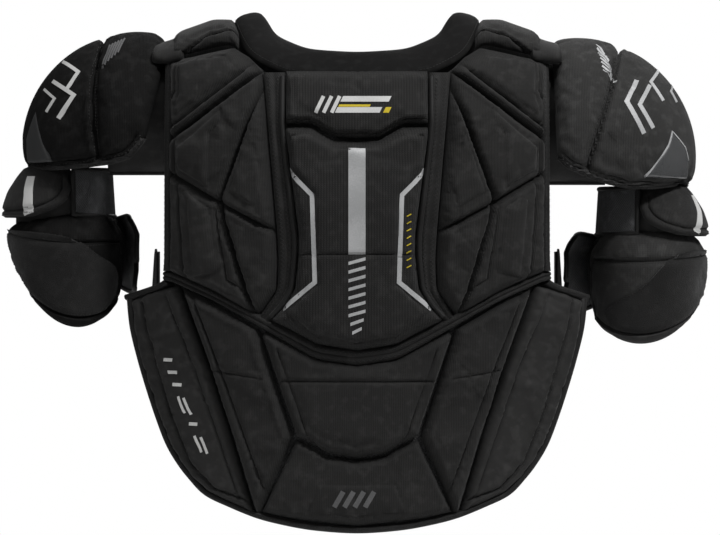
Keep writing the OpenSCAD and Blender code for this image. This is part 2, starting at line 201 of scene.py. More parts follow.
def new_group(name: str, inputs: Sequence[tuple[str, str, float]], outputs: Sequence[str]) -> tuple[
    Graph, bpy.types.Node, bpy.types.Node
]:
    """Starts a shader node group.

    Args:
        name: The group's name.
        inputs: Name, kind (Vector or Float) and default of each input.
        outputs: Names of the number outputs.

    Returns:
        The group's graph, its input node and its output node.
    """
    tree = bpy.data.node_groups.new(name, "ShaderNodeTree")
    for label, kind, default in inputs:
        socket = tree.interface.new_socket(label, in_out="INPUT", socket_type="NodeSocket" + kind)
        if kind == "Float":
            socket.default_value = default
    for label in outputs:
        tree.interface.new_socket(label, in_out="OUTPUT", socket_type="NodeSocketFloat")
    return Graph(tree), tree.nodes.new("NodeGroupInput"), tree.nodes.new("NodeGroupOutput")


class Groups:
    """Shared effects, each a node group that is built once."""

    made: ClassVar[dict[str, bpy.types.NodeTree]] = {}

    @classmethod
    def get(cls, name: str) -> bpy.types.NodeTree:
        """Builds a group the first time and returns it.

        Args:
            name: rib_knit, plain_weave, round_mesh, fibre or seam_shade.

        Returns:
            The group's tree.
        """
        if name not in cls.made:
            cls.made[name] = getattr(cls, name)()
        return cls.made[name]

    @staticmethod
    def rib_knit() -> bpy.types.NodeTree:
        """Columns of V-shaped knit stitches.

        Returns:
            A group with a Height output.
        """
        graph, given, out = new_group(
            "rib_knit", (
                ("Vector", "Vector", 0), ("Wales", "Float", 400.0), ("Courses", "Float", 500.0)
            ), ("Height",)
        )
        axes = graph.add("SeparateXYZ")
        graph.put(given.outputs["Vector"], axes.inputs[0])
        run = graph.math("MULTIPLY", axes.outputs[0], given.outputs["Wales"])
        climb = graph.math("MULTIPLY", axes.outputs[1], given.outputs["Courses"])
        rib = graph.math("ABSOLUTE", graph.math("SINE", graph.math("MULTIPLY", run, math.pi)))
        slant = graph.math("ABSOLUTE", graph.math("SUBTRACT", graph.math("FRACT", run), 0.5))
        loop = graph.math(
            "SINE",
            graph.math(
                "MULTIPLY",
                graph.math("ADD", climb, graph.math("MULTIPLY", slant, 1.4)),
                2 * math.pi,
            ),
        )
        height = graph.math("MULTIPLY", rib, graph.math("MULTIPLY_ADD", loop, 0.28, 0.72))
        graph.put(height, out.inputs["Height"])
        return graph.tree

    @staticmethod
    def plain_weave() -> bpy.types.NodeTree:
        """Over-and-under weave of two sets of yarn.

        Returns:
            A group with a Height output.
        """
        graph, given, out = new_group(
            "plain_weave", (
                ("Vector", "Vector", 0), ("Warp", "Float", 900.0), ("Weft", "Float", 900.0)
            ), ("Height",)
        )
        axes = graph.add("SeparateXYZ")
        graph.put(given.outputs["Vector"], axes.inputs[0])
        warp = graph.math(
            "SINE",
            graph.math(
                "MULTIPLY", graph.math("MULTIPLY", axes.outputs[0], given.outputs["Warp"]), math.pi
            ),
        )
        weft = graph.math(
            "SINE",
            graph.math(
                "MULTIPLY", graph.math("MULTIPLY", axes.outputs[1], given.outputs["Weft"]), math.pi
            ),
        )
        graph.put(
            graph.math("MULTIPLY_ADD", graph.math("MULTIPLY", warp, weft), 0.5, 0.5),
            out.inputs["Height"],
        )
        return graph.tree

    @staticmethod
    def round_mesh() -> bpy.types.NodeTree:
        """Staggered round holes of a spacer mesh.

        Returns:
            A group with a Height output.
        """
        graph, given, out = new_group(
            "round_mesh", (("Vector", "Vector", 0), ("Holes", "Float", 260.0)), ("Height",)
        )
        scaled = graph.add("VectorMath", operation="SCALE")
        graph.put(given.outputs["Vector"], scaled.inputs[0])
        graph.put(given.outputs["Holes"], scaled.inputs["Scale"])
        gaps = []
        for shift in (0.0, 0.5):
            moved = graph.add("VectorMath", operation="ADD")
            graph.put(scaled.outputs[0], moved.inputs[0])
            moved.inputs[1].default_value = (shift, shift, 0)
            part = graph.add("VectorMath", operation="FRACTION")
            graph.put(moved.outputs[0], part.inputs[0])
            axes = graph.add("SeparateXYZ")
            graph.put(part.outputs[0], axes.inputs[0])
            across = graph.math("SUBTRACT", axes.outputs[0], 0.5)
            along = graph.math("SUBTRACT", axes.outputs[1], 0.5)
            gaps.append(
                graph.math(
                    "SQRT",
                    graph.math(
                        "ADD", graph.math("POWER", across, 2), graph.math("POWER", along, 2)
                    ),
                )
            )
        near = graph.math("MINIMUM", gaps[0], gaps[1])
        graph.put(graph.span(near, 0.16, 0.34), out.inputs["Height"])
        return graph.tree

    @staticmethod
    def fibre() -> bpy.types.NodeTree:
        """Fine fuzz and broad unevenness of tone.

        Returns:
            A group with Tone and Height outputs.
        """
        graph, given, out = new_group(
            "fibre", (
                ("Vector", "Vector", 0), ("Fine", "Float", 1400.0), ("Broad", "Float", 28.0)
            ), ("Tone", "Height")
        )
        values = []
        for name, detail in (("Fine", 3.0), ("Broad", 4.0)):
            noise = graph.add("TexNoise")
            graph.put(given.outputs["Vector"], noise.inputs["Vector"])
            graph.put(given.outputs[name], noise.inputs["Scale"])
            noise.inputs["Detail"].default_value = detail
            values.append(noise.outputs[0])
        graph.put(
            graph.math(
                "ADD",
                graph.math("MULTIPLY", values[0], 0.45),
                graph.math("MULTIPLY", values[1], 0.55),
            ),
            out.inputs["Tone"],
        )
        graph.put(values[0], out.inputs["Height"])
        return graph.tree

    @staticmethod
    def seam_shade() -> bpy.types.NodeTree:
        """Painted highlight on the crowns, broken up by noise, and painted shade in the seams, from how high
        the padding stands.

        Returns:
            A group with PaintedHighlight and PaintedShade outputs.
        """
        graph, given, out = new_group(
            "seam_shade", (
                ("Vector", "Vector", 0), ("Relief", "Float", 1.0), ("Scale", "Float", 120.0)
            ), ("PaintedHighlight", "PaintedShade")
        )
        # Noise breaks the painted highlight on the crowns into patches.
        noise = graph.add("TexNoise")
        graph.put(given.outputs["Vector"], noise.inputs["Vector"])
        graph.put(given.outputs["Scale"], noise.inputs["Scale"])
        noise.inputs["Detail"].default_value = 5.0
        high = graph.span(given.outputs["Relief"], 0.82, 1.0)
        graph.put(
            graph.math("MULTIPLY", high, graph.span(noise.outputs[0], 0.48, 0.68)),
            out.inputs["PaintedHighlight"],
        )
        graph.put(graph.span(given.outputs["Relief"], 0.2, 0.88, 1.0, 0.0), out.inputs["PaintedShade"])
        return graph.tree


# ------------------------------------------------------------------- finishes


class Weave(Enum):
    """Surface structures a finish may have, by the name of their node group."""

    RIB = "rib_knit"
    PLAIN = "plain_weave"
    HOLES = "round_mesh"
    NONE = ""


@dataclass(frozen=True)
class Finish:
    """A fabric or plastic and its material."""

    name: str
    colour: tuple[float, float, float]
    light: tuple[float, float, float]
    weave: Weave = Weave.NONE
    threads: tuple[float, float] = (500.0, 500.0)
    depth: float = 0.35
    fuzz: float = 0.12
    rough: float = 0.8
    rough_to: float = 0.92
    sheen: float = 0.07
    coat: float = 0.0
    specular: float = 0.3
    metallic: float = 0.0
    own_uv: bool = True

    made: ClassVar[dict[str, bpy.types.Material]] = {}

    def material(self) -> bpy.types.Material:
        """Builds the material the first time and returns it.

        Returns:
            The material.
        """
        if self.name not in Finish.made:
            Finish.made[self.name] = self.build()
        return Finish.made[self.name]

    def build(self) -> bpy.types.Material:
        """Builds the material's nodes.

        Returns:
            The new material.
        """
        material = bpy.data.materials.new(self.name)
        material.use_nodes = True
        graph = Graph(material.node_tree)
        shader = material.node_tree.nodes["Principled BSDF"]
        place = graph.add("TexCoord").outputs["Object"]
        cloth = place
        if self.own_uv:
            cloth = graph.add("UVMap", uv_map=CLOTH_UV).outputs[0]
        relief = graph.add("Attribute", attribute_name=RELIEF).outputs["Fac"]
        fibre = self.effect(graph, "fibre", place)
        shade = self.effect(graph, "seam_shade", place)
        graph.put(relief if self.own_uv else 0.7, shade.inputs["Relief"])
        tone = graph.span(fibre.outputs["Tone"], 0.36, 0.64)
        colour = graph.mix(tone, (*self.colour, 1), (*self.light, 1))
        height = graph.math("MULTIPLY", fibre.outputs["Height"], self.fuzz)
        if self.weave is not Weave.NONE:
            weave = self.effect(graph, self.weave.value, cloth)
            for socket, value in zip(list(weave.inputs)[1:], self.threads):
                socket.default_value = value
            height = graph.math("ADD", height, weave.outputs["Height"])
            # Painted shade: the colour darkens in the hollows of the weave and in the mesh holes.
            low = graph.math("SUBTRACT", 1.0, weave.outputs["Height"])
            colour = graph.mix(
                graph.math("MULTIPLY", low, 0.55), colour, (*(0.35 * c for c in self.colour), 1)
            )
        # Painted shade: the colour darkens in the seams, where the padding is low.
        painted_shade = graph.math("MULTIPLY", shade.outputs["PaintedShade"], 0.82)
        colour = graph.mix(painted_shade, colour, (*(0.18 * c for c in self.colour), 1))
        # Painted highlight: the crowns of the padding are lightened in patches.
        painted_highlight = graph.math("MULTIPLY", shade.outputs["PaintedHighlight"], 0.4)
        colour = graph.mix(painted_highlight, colour, (*(min(1, 1.5 * c + 0.004) for c in self.light), 1))
        graph.put(colour, shader.inputs["Base Color"])
        graph.put(
            graph.span(fibre.outputs["Tone"], 0.3, 0.7, self.rough, self.rough_to),
            shader.inputs["Roughness"],
        )
        bump = graph.add("Bump")
        bump.inputs["Strength"].default_value = 1.0
        bump.inputs["Distance"].default_value = self.depth * MM
        graph.put(height, bump.inputs["Height"])
        graph.put(bump.outputs[0], shader.inputs["Normal"])
        shader.inputs["Metallic"].default_value = self.metallic
        shader.inputs["Specular IOR Level"].default_value = self.specular
        shader.inputs["Sheen Weight"].default_value = self.sheen
        shader.inputs["Sheen Roughness"].default_value = 0.45
        shader.inputs["Coat Weight"].default_value = self.coat
        shader.inputs["Coat Roughness"].default_value = 0.18
        return material

    @staticmethod
    def effect(graph: Graph, name: str, vector: bpy.types.NodeSocket) -> bpy.types.Node:
        """Places a shared effect in a material.

        Args:
            graph: The material's graph.
            name: The effect's name in Groups.
            vector: Coordinates for it.

        Returns:
            The group node.
        """
        node = graph.add("Group", node_tree=Groups.get(name))
        graph.put(vector, node.inputs["Vector"])
        return node


RIB_KNIT = Finish(
    "rib_knit_black",
    (0.0125, 0.0122, 0.012),
    (0.021, 0.0205, 0.02),
    Weave.RIB,
    (420.0, 520.0),
    0.42,
    0.2,
)
FINE_KNIT = Finish(
    "fine_knit_black",
    (0.0135, 0.0132, 0.0128),
    (0.022, 0.0215, 0.021),
    Weave.RIB,
    (640.0, 820.0),
    0.25,
    0.2,
)
# Painted shade: a darker copy of the fine knit, for the left cap and the left flap, which stand away from the
# key light.
SHADED_KNIT = Finish(
    "fine_knit_painted_shade",
    (0.0065, 0.0064, 0.0063),
    (0.012, 0.0118, 0.0116),
    Weave.RIB,
    (640.0, 820.0),
    0.25,
    0.2,
    sheen=0.0,
    specular=0.12,
)
# Painted light: a lighter copy of the fine knit, for the right cap, the right flap and the sternum pad.
LIT_KNIT = Finish(
    "fine_knit_painted_lit",
    (0.023, 0.0227, 0.022),
    (0.038, 0.0375, 0.037),
    Weave.RIB,
    (640.0, 820.0),
    0.25,
    0.2,
)
STRETCH = Finish(
    "smooth_stretch",
    (0.0145, 0.0142, 0.0138),
    (0.023, 0.0225, 0.022),
    Weave.PLAIN,
    (1500.0, 1500.0),
    0.09,
    0.1,
    0.62,
    0.8,
)
TAPE = Finish(
    "woven_tape",
    (0.0085, 0.0083, 0.008),
    (0.0155, 0.0152, 0.0148),
    Weave.PLAIN,
    (700.0, 1100.0),
    0.2,
    0.1,
    0.7,
    0.85,
)
BINDING = Finish(
    "satin_binding",
    (0.0065, 0.0064, 0.0062),
    (0.0115, 0.0112, 0.011),
    Weave.PLAIN,
    (900.0, 900.0),
    0.14,
    0.08,
    0.5,
    0.7,
)
NEOPRENE = Finish(
    "soft_neoprene",
    (0.005, 0.0049, 0.0048),
    (0.008, 0.0079, 0.0078),
    Weave.PLAIN,
    (1900.0, 1900.0),
    0.05,
    0.08,
    0.72,
    0.84,
    0.0,
    specular=0.1,
)
SPACER = Finish(
    "spacer_mesh", (0.033, 0.0335, 0.034), (0.052, 0.0525, 0.053), Weave.HOLES, (310.0,), 0.5, 0.15
)
CUFF_MESH = Finish("cuff_mesh", (0.05, 0.051, 0.053), (0.085, 0.087, 0.09), Weave.HOLES, (380.0,), 0.4, 0.15)
LOOP_PILE = Finish(
    "loop_pile",
    (0.004, 0.0039, 0.0038),
    (0.013, 0.0128, 0.0126),
    Weave.NONE,
    (0.0,),
    0.9,
    1.0,
    0.9,
    1.0,
    0.15,
)
WEBBING = Finish(
    "webbing",
    (0.009, 0.0088, 0.0086),
    (0.016, 0.0157, 0.0154),
    Weave.PLAIN,
    (520.0, 900.0),
    0.35,
    0.1,
    0.6,
    0.78,
)
THREAD = Finish(
    "black_thread",
    (0.011, 0.0108, 0.0106),
    (0.024, 0.0235, 0.023),
    Weave.NONE,
    (0.0,),
    0.1,
    0.5,
    0.45,
    0.6,
    own_uv=False,
)
SILVER = Finish(
    "silver_print",
    (0.4, 0.405, 0.41),
    (0.6, 0.605, 0.61),
    Weave.NONE,
    (0.0,),
    0.08,
    0.6,
    0.38,
    0.5,
    0.0,
    own_uv=False,
)
WHITE = Finish(
    "white_print",
    (0.62, 0.62, 0.61),
    (0.78, 0.78, 0.77),
    Weave.NONE,
    (0.0,),
    0.06,
    0.5,
    0.5,
    0.62,
    0.0,
    own_uv=False,
)
YELLOW = Finish(
    "yellow_print",
    (0.62, 0.47, 0.02),
    (0.75, 0.58, 0.035),
    Weave.NONE,
    (0.0,),
    0.06,
    0.5,
    0.5,
    0.62,
    0.0,
    own_uv=False,
)
GREY_PRINT = Finish(
    "grey_print",
    (0.1, 0.1, 0.102),
    (0.15, 0.15, 0.152),
    Weave.NONE,
    (0.0,),
    0.06,
    0.6,
    0.45,
    0.6,
    0.0,
    own_uv=False,
)
DARK_PLASTIC = Finish(
    "dark_plastic",
    (0.04, 0.041, 0.042),
    (0.052, 0.053, 0.054),
    Weave.NONE,
    (0.0,),
    0.05,
    0.6,
    0.42,
    0.52,
    0.0,
    own_uv=False,
)
GLOSS_PLASTIC = Finish(
    "gloss_plastic",
    (0.085, 0.087, 0.09),
    (0.12, 0.122, 0.125),
    Weave.NONE,
    (0.0,),
    0.03,
    0.4,
    0.25,
    0.34,
    0.0,
    0.5,
    0.5,
    0.25,
    own_uv=False,
)


# --------------------------------------------------------- forms of the body


class Curve:
    """A value read from a short table, with its corners eased."""

    def __init__(self, rows: Path, ease: float = 0.0) -> None:
        """Samples the table finely.

        Args:
            rows: Pairs of key and value, keys rising.
            ease: Length over which a corner is eased, in the key's unit.
        """
        keys, values = (np.array(column, float) for column in zip(*rows))
        span = keys[-1] - keys[0]
        self.keys = np.linspace(keys[0] - 0.2 * span, keys[-1] + 0.2 * span, 560)
        self.values = np.interp(self.keys, keys, values)
        if ease > 0:
            gap = self.keys[1] - self.keys[0]
            reach = np.arange(-int(3 * ease / gap) - 1, int(3 * ease / gap) + 2) * gap
            weight = np.exp(-0.5 * (reach / ease) ** 2)
            padded = np.pad(self.values, len(reach) // 2, mode="edge")
            self.values = np.convolve(padded, weight / weight.sum(), mode="valid")

    def __call__(self, key: Array) -> Array:
        """Value of the table at a key.

        Args:
            key: One or more keys.

        Returns:
            The values there.
        """
        return np.interp(key, self.keys, self.values)


BODY_HALF = Curve(((-440, 194), (-330, 212), (-240, 224), (-150, 198), (-60, 196), (20, 182)), 9)
BACK_REACH = Curve(
    (
        (-440, 100.8), (-330, 105.3), (-240, 112), (-140, 117.6), (-60, 108.6), (-22, 94.1),
        (0, 80.6), (10, 73.9),
    ),
    6,
)
FRONT_REACH = Curve(((-440, 95.7), (-300, 101.9), (-160, 108.2), (-80, 98.8), (-40, 83.2), (0, 68.6)), 8)
PLAN_POWER = 2.6
FRONT_HALF = 172.0


def bulge(share: Array) -> Array:
    """Depth of the body's plan at a share of its half width, from 1 in the middle to 0.

    Args:
        share: Share of the half width.

    Returns:
        Share of the full depth.
    """
    return (1 - np.clip(np.abs(share), 0, 0.9995) ** PLAN_POWER) ** (1 / PLAN_POWER)


class Chart:
    """A curved surface with two flat coordinates and a height, all in millimetres."""

    def point(self, a: Array, b: Array, d: Array) -> Array:
        """Points of the surface.

        Args:
            a: Coordinate along the surface.
            b: Coordinate up the surface.
            d: Height above it.

        Returns:
            Points in millimetres.
        """
        raise NotImplementedError

    def cloth(self, a: Array, b: Array) -> Array:
        """Flat cloth coordinates in millimetres for the weave."""
        return np.column_stack((a, b))


@dataclass
class BackChart(Chart):
    """The wearer's back. a runs along X and b is the height Z. A line is drawn true at the nominal height."""

    nominal: float = 6.0

    def point(self, a: Array, b: Array, d: Array) -> Array:
        """Points of the back's surface.

        Args:
            a: Coordinate along the surface.
            b: Coordinate up the surface.
            d: Height above it.

        Returns:
            Points in millimetres, one row each.
        """
        half = BODY_HALF(b)
        share = a / (half + self.nominal)
        return np.column_stack(((half + d) * share, -(BACK_REACH(b) + d) * bulge(share), b + 0 * a))

    def cloth(self, a: Array, b: Array) -> Array:
        """Cloth coordinates, stretched where the form turns to the sides."""
        share = np.abs(a) / (BODY_HALF(b) + self.nominal)
        return np.column_stack((np.sign(a) * (np.abs(a) + 60 * share**4), b))


@dataclass
class FrontChart(Chart):
    """The wearer's chest.

    a runs along X and b is the height Z. A line is drawn true at the nominal height.
    """

    nominal: float = 12.0

    def point(self, a: Array, b: Array, d: Array) -> Array:
        """Points of the chest's surface.

        Args:
            a: Coordinate along the surface.
            b: Coordinate up the surface.
            d: Height above it.

        Returns:
            Points in millimetres, one row each.
        """
        share = a / (FRONT_HALF + self.nominal)
        return np.column_stack(((FRONT_HALF + d) * share, (FRONT_REACH(b) + d) * bulge(share), b + 0 * a))


YOKE_SEAM = Curve(((70, -22), (88, -14), (114, 6), (150, -2), (170, -6)), 4)
YOKE_RISE = Curve(((88, 20), (117, 12), (132, 15), (161, 11), (172, 8), (184, 5)), 2)
YOKE_REACH = Curve(((88, 66), (166, 54)))


@dataclass
class YokeChart(Chart):
    """The arch over a shoulder.

    a runs along X and b from the back seam, 0, over the top, 80, to the front, 160.
    """

    side: Side

    def point(self, a: Array, b: Array, d: Array) -> Array:
        """Points of the arch.

        Args:
            a: Coordinate along the surface.
            b: Coordinate up the surface.
            d: Height above it.

        Returns:
            Points in millimetres, one row each.
        """
        turn = b / 80.0
        base = np.where(turn < 1, YOKE_SEAM(a), YOKE_SEAM(a) + (-8 - YOKE_SEAM(a)) * (turn - 1))
        rise = YOKE_RISE(a) + np.where(turn < 1, 0, (turn - 1) * 4)
        angle = np.radians(90 * turn)
        return np.column_stack(
            (self.side.value * a, -(YOKE_REACH(a) + d) * np.cos(angle), base + (rise + d) * np.sin(angle))
        )


ARM_X = 265.0
ARM_DEEP = 8.0
GUARD_H = 38.0
GUARD_FORM = Curve(((-38, 56), (-27, 55), (-14, 50.5), (0, 41.5), (10, 33)), 2)
CUFF_FORM = Curve(((-38, 46), (10, 43)), 2)
SLEEVE_FORM = Curve(((-60, 43), (-20, 43), (6, 36)), 2)


@dataclass
class GuardChart(Chart):
    """The flared tube round the upper arm.

    a is the angle from the outer side to the front and b is 0 at the top and -38 at the rim.
    """

    side: Side
    height: float
    form: Curve = GUARD_FORM
    centre: float = ARM_X

    def point(self, a: Array, b: Array, d: Array) -> Array:
        """Points of the tube.

        Args:
            a: Coordinate along the surface.
            b: Coordinate up the surface.
            d: Height above it.

        Returns:
            Points in millimetres, one row each.
        """
        half = self.form(b) + d
        turn = np.radians(a)
        return np.column_stack(
            (
                self.side.value * (self.centre + half * np.cos(turn)),
                (half + ARM_DEEP) * np.sin(turn),
                self.height + b + 0 * a,
            )
        )


WRAP_OUT = 55.0


@dataclass
class WrapChart(Chart):
    """The wrap below the guard.

    a is the angle from the outer side to the front and b is 0 at the top and -62 at the rim.
    """

    side: Side
    height: float
    span: float
    lean: float
    dip: float
    flare: float

    def point(self, a: Array, b: Array, d: Array) -> Array:
        """Points of the wrap's outer face at d = 0.

        Args:
            a: Coordinate along the surface.
            b: Coordinate up the surface.
            d: Height above it.

        Returns:
            Points in millimetres, one row each.
        """
        fall = -b / 62.0
        lean = np.radians(self.lean) * fall
        out = WRAP_OUT - 7 * np.clip((b + 8) / 13, 0, 1) + d
        turn = np.radians(a)
        x = ARM_X + out * np.cos(turn) * np.cos(lean)
        low = self.span * np.where(
            fall < 0, 1.25, 1
        ) * fall + self.dip * np.maximum(fall, 0) * np.maximum(-np.sin(turn), 0) ** 1.3
        z = self.height - GUARD_H - 7 - low + out * np.cos(turn) * np.sin(lean)
        return np.column_stack((self.side.value * x, (out + ARM_DEEP) * np.sin(turn), z))


@dataclass
class CollarChart(Chart):
    """The collar.

    a is the angle round the neck from the back, in degrees, and b runs from the inner edge, 0, to
    the outer edge, 1.
    """

    eased: ClassVar[float] = 6.0
    inner: ClassVar[tuple[Curve, ...]] = ()
    outer: ClassVar[tuple[Curve, ...]] = ()

    @staticmethod
    def both_ways(rows: Path, odd: bool) -> Curve:
        """Repeats a half table on the other side of the middle.

        Args:
            rows: The half table from angle 0.
            odd: Whether the value changes sign with the angle.

        Returns:
            The eased curve.
        """
        sign = -1 if odd else 1
        return Curve([(-k, sign * v) for k, v in rows[:0:-1]] + list(rows), CollarChart.eased)

    def edges(self) -> tuple[tuple[Curve, ...], tuple[Curve, ...]]:
        """Curves of the inner and the outer edge."""
        if not CollarChart.inner:
            keys = (0, 30, 60, 75, 90, 120, 150, 172)
            tables = (
                (
                    (0, 44, 74, 81, 88, 80, 52, 16),
                    (-66, -57, -34, -17, 0, 38, 62, 72),
                    (-2, 1, 14, 28, 38, 12, -28, -48),
                ),
                (
                    (0, 64, 100, 110, 113, 108, 76, 26),
                    (-99, -95, -80, -44, 0, 50, 84, 92),
                    (-26, -23, -4, 18, 32, 2, -50, -78),
                ),
            )
            made = [
                tuple(self.both_ways(tuple(zip(keys, row)), i == 0) for i, row in enumerate(table))
                for table in tables
            ]
            CollarChart.inner, CollarChart.outer = made
        return CollarChart.inner, CollarChart.outer

    def point(self, a: Array, b: Array, d: Array) -> Array:
        """Points of the collar.

        Args:
            a: Coordinate along the surface.
            b: Coordinate up the surface.
            d: Height above its middle surface.

        Returns:
            Points in millimetres, one row each.
        """
        inner, outer = self.edges()
        near, far = (np.column_stack([c(a) for c in edge]) for edge in (inner, outer))
        ahead = np.column_stack(
            [0.5 * (c(a + 1) + e(a + 1) - c(a - 1) - e(a - 1)) for c, e in zip(inner, outer)]
        )
        out = np.cross(far - near, ahead)
        out /= np.maximum(np.linalg.norm(out, axis=1, keepdims=True), 1e-9)
        b = np.asarray(b, float).reshape(-1, 1)
        arch = 3.0 * (1 - (2 * b - 1) ** 2)
        return near + (far - near) * b + out * (np.asarray(d, float).reshape(-1, 1) + arch * 0.5)

    def cloth(self, a: Array, b: Array) -> Array:
        """Cloth coordinates, from the angle and the width."""
        return np.column_stack((a * 1.9, b * 33))


BACK = BackChart()
FRONT = FrontChart()
COLLAR = CollarChart()


# ------------------------------------------------------------------ builders


def mirrored(path: Path, side: Side = Side.LEFT) -> list[tuple[float, float]]:
    """Turns a path over to a side.

    Args:
        path: Points on the right.
        side: The side wanted.

    Returns:
        The points on that side.
    """
    return [(side.value * a, b) for a, b in path]


def both_sides(path: Path) -> list[tuple[float, float]]:
    """Joins a right-hand outline, from the middle up or down, with its mirror image.

    Args:
        path: Points on the right, in order.

    Returns:
        The whole closed outline.
    """
    return list(path) + [(-a, b) for a, b in reversed(path) if abs(a) > 0.01]


def eased(path: Path, spacing: float = 4.0) -> list[tuple[float, float]]:
    """Draws a smooth line through points.

    Args:
        path: The points.
        spacing: Distance between the new points.

    Returns:
        Closely spaced points on the smooth line.
    """
    points = [np.array(p, float) for p in path]
    last = len(points) - 1
    found = []
    for i in range(last):
        p0, p1, p2, p3 = points[max(i - 1, 0)], points[i], points[i + 1], points[min(i + 2, last)]
        steps = max(1, int(np.linalg.norm(p2 - p1) / spacing))
        linear, square, cube = p2 - p0, 2 * p0 - 5 * p1 + 4 * p2 - p3, 3 * p1 - p0 - 3 * p2 + p3
        for k in range(steps):
            t = k / steps
            found.append(tuple(0.5 * (2 * p1 + linear * t + square * t**2 + cube * t**3)))
    found.append(tuple(points[-1]))
    return found


def dense(path: Path, spacing: float, closed: bool = False) -> Array:
    """Fills in a line with points at an even spacing.

    Args:
        path: Its corners.
        spacing: Largest distance between points.
        closed: Whether it returns to its start.

    Returns:
        The points, one row each.
    """
    corners = [np.array(p, float) for p in path] + ([np.array(path[0], float)] if closed else [])
    found = []
    for start, end in zip(corners, corners[1:]):
        steps = max(1, int(math.ceil(np.linalg.norm(end - start) / spacing)))
        found += [start + (end - start) * k / steps for k in range(steps)]
    found.append(corners[-1])
    return np.array(found)


def inside(a: Array, b: Array, outline: Path) -> Array:
    """Tests which points lie in a closed outline.

    Args:
        a: First coordinates.
        b: Second coordinates.
        outline: Corners of the outline.

    Returns:
        True for each point inside.
    """
    found = np.zeros(len(a), bool)
    for (a0, b0), (a1, b1) in zip(outline, list(outline[1:]) + [outline[0]]):
        crosses = (b0 > b) != (b1 > b)
        with np.errstate(divide="ignore", invalid="ignore"):
            at = (a1 - a0) * (b - b0) / (b1 - b0 if b1 != b0 else 1e-9) + a0
        found ^= crosses & (a < at)
    return found


def gap_to(points: Array, line: Array) -> Array:
    """Distance of each point from a densely sampled line.

    Args:
        points: Points in space.
        line: Points of the line in space.

    Returns:
        The distances.
    """
    tree = KDTree(len(line))
    for i, spot in enumerate(line):
        tree.insert(Vector(spot), i)
    tree.balance()
    return np.array([tree.find(Vector(p))[2] for p in points])


def shoulder(gap: Array, width: float, floor: float) -> Array:
    """Rounded rise of padding beside a seam.

    Args:
        gap: Distance from the seam.
        width: Distance at which the padding is at its full height.
        floor: Share of the height left at the seam.

    Returns:
        Share of the full height.
    """
    share = np.clip(gap / width, 0, 1)
    return floor + (1 - floor) * (1 - (1 - share) ** 2.2)


def to_object(bm: bmesh.types.BMesh, name: str) -> bpy.types.Object:
    """Makes an object of a bmesh and frees it.

    Args:
        bm: The finished bmesh.
        name: Name of the piece.

    Returns:
        The new object, linked to the scene.
    """
    mesh = bpy.data.meshes.new(name)
    bm.to_mesh(mesh)
    bm.free()
    piece = bpy.data.objects.new(name, mesh)
    bpy.context.scene.collection.objects.link(piece)
    return piece


def read_points(mesh: bpy.types.Mesh) -> Array:
    """Reads the vertex positions of a mesh.

    Args:
        mesh: The mesh.

    Returns:
        Positions, one row each.
    """
    flat = np.zeros(len(mesh.vertices) * 3)
    mesh.vertices.foreach_get("co", flat)
    return flat.reshape(-1, 3)


def write_points(mesh: bpy.types.Mesh, points: Array) -> None:
    """Moves the vertices of a mesh.

    Args:
        mesh: The mesh.
        points: Their new positions, one row each.
    """
    mesh.vertices.foreach_set("co", np.asarray(points, float).ravel())
    mesh.update()


def write_number(mesh: bpy.types.Mesh, name: str, values: Array) -> None:
    """Stores one number for each vertex of a mesh."""
    layer = mesh.attributes.get(name) or mesh.attributes.new(name, "FLOAT", "POINT")
    layer.data.foreach_set("value", np.asarray(values, np.float32))


def write_uv(mesh: bpy.types.Mesh, flat: Array) -> None:
    """Lays cloth coordinates on a mesh.

    Args:
        mesh: The mesh.
        flat: Coordinates in millimetres of each vertex.
    """
    layer = mesh.uv_layers.get(CLOTH_UV) or mesh.uv_layers.new(name=CLOTH_UV)
    corner = np.zeros(len(mesh.loops), np.int32)
    mesh.loops.foreach_get("vertex_index", corner)
    layer.data.foreach_set("uv", (flat[corner] * MM).astype(np.float32).ravel())


def turn_outward(piece: bpy.types.Object, sharp: float = 55.0) -> None:
    """Makes all faces of a closed mesh point out and shades it smooth.

    Args:
        piece: The piece.
        sharp: Angle in degrees past which an edge stays sharp.
    """
    bm = bmesh.new()
    bm.from_mesh(piece.data)
    bmesh.ops.recalc_face_normals(bm, faces=bm.faces[:])
    bm.to_mesh(piece.data)
    bm.free()
    piece.data.shade_smooth()
    piece.data.set_sharp_from_angle(angle=math.radians(sharp))


def cut_face(outline: Path, step: float, scores: Sequence[Path] = ()) -> bmesh.types.BMesh:
    """Lays a flat face inside an outline and cuts it into small squares.

    Args:
        outline: Corners of the face.
        step: Size of the squares.
        scores: Lines that get edges of their own.

    Returns:
        The flat bmesh.
    """
    bm = bmesh.new()
    bm.faces.new([bm.verts.new((a, b, 0)) for a, b in outline])
    for axis in (0, 1):
        values = [p[axis] for p in outline]
        low, high = min(values), max(values)
        count = max(2, int(round((high - low) / step)))
        normal = (1, 0, 0) if axis == 0 else (0, 1, 0)
        for i in range(1, count):
            at = low + (high - low) * i / count + 0.0137
            spot = (at, 0, 0) if axis == 0 else (0, at, 0)
            bmesh.ops.bisect_plane(
                bm,
                geom=bm.verts[:] + bm.edges[:] + bm.faces[:],
                dist=1e-5,
                plane_co=spot,
                plane_no=normal,
            )
    for path in scores:
        for start, end in zip(path, path[1:]):
            score(bm, Vector((*start, 0)), Vector((*end, 0)), step)
    return bm


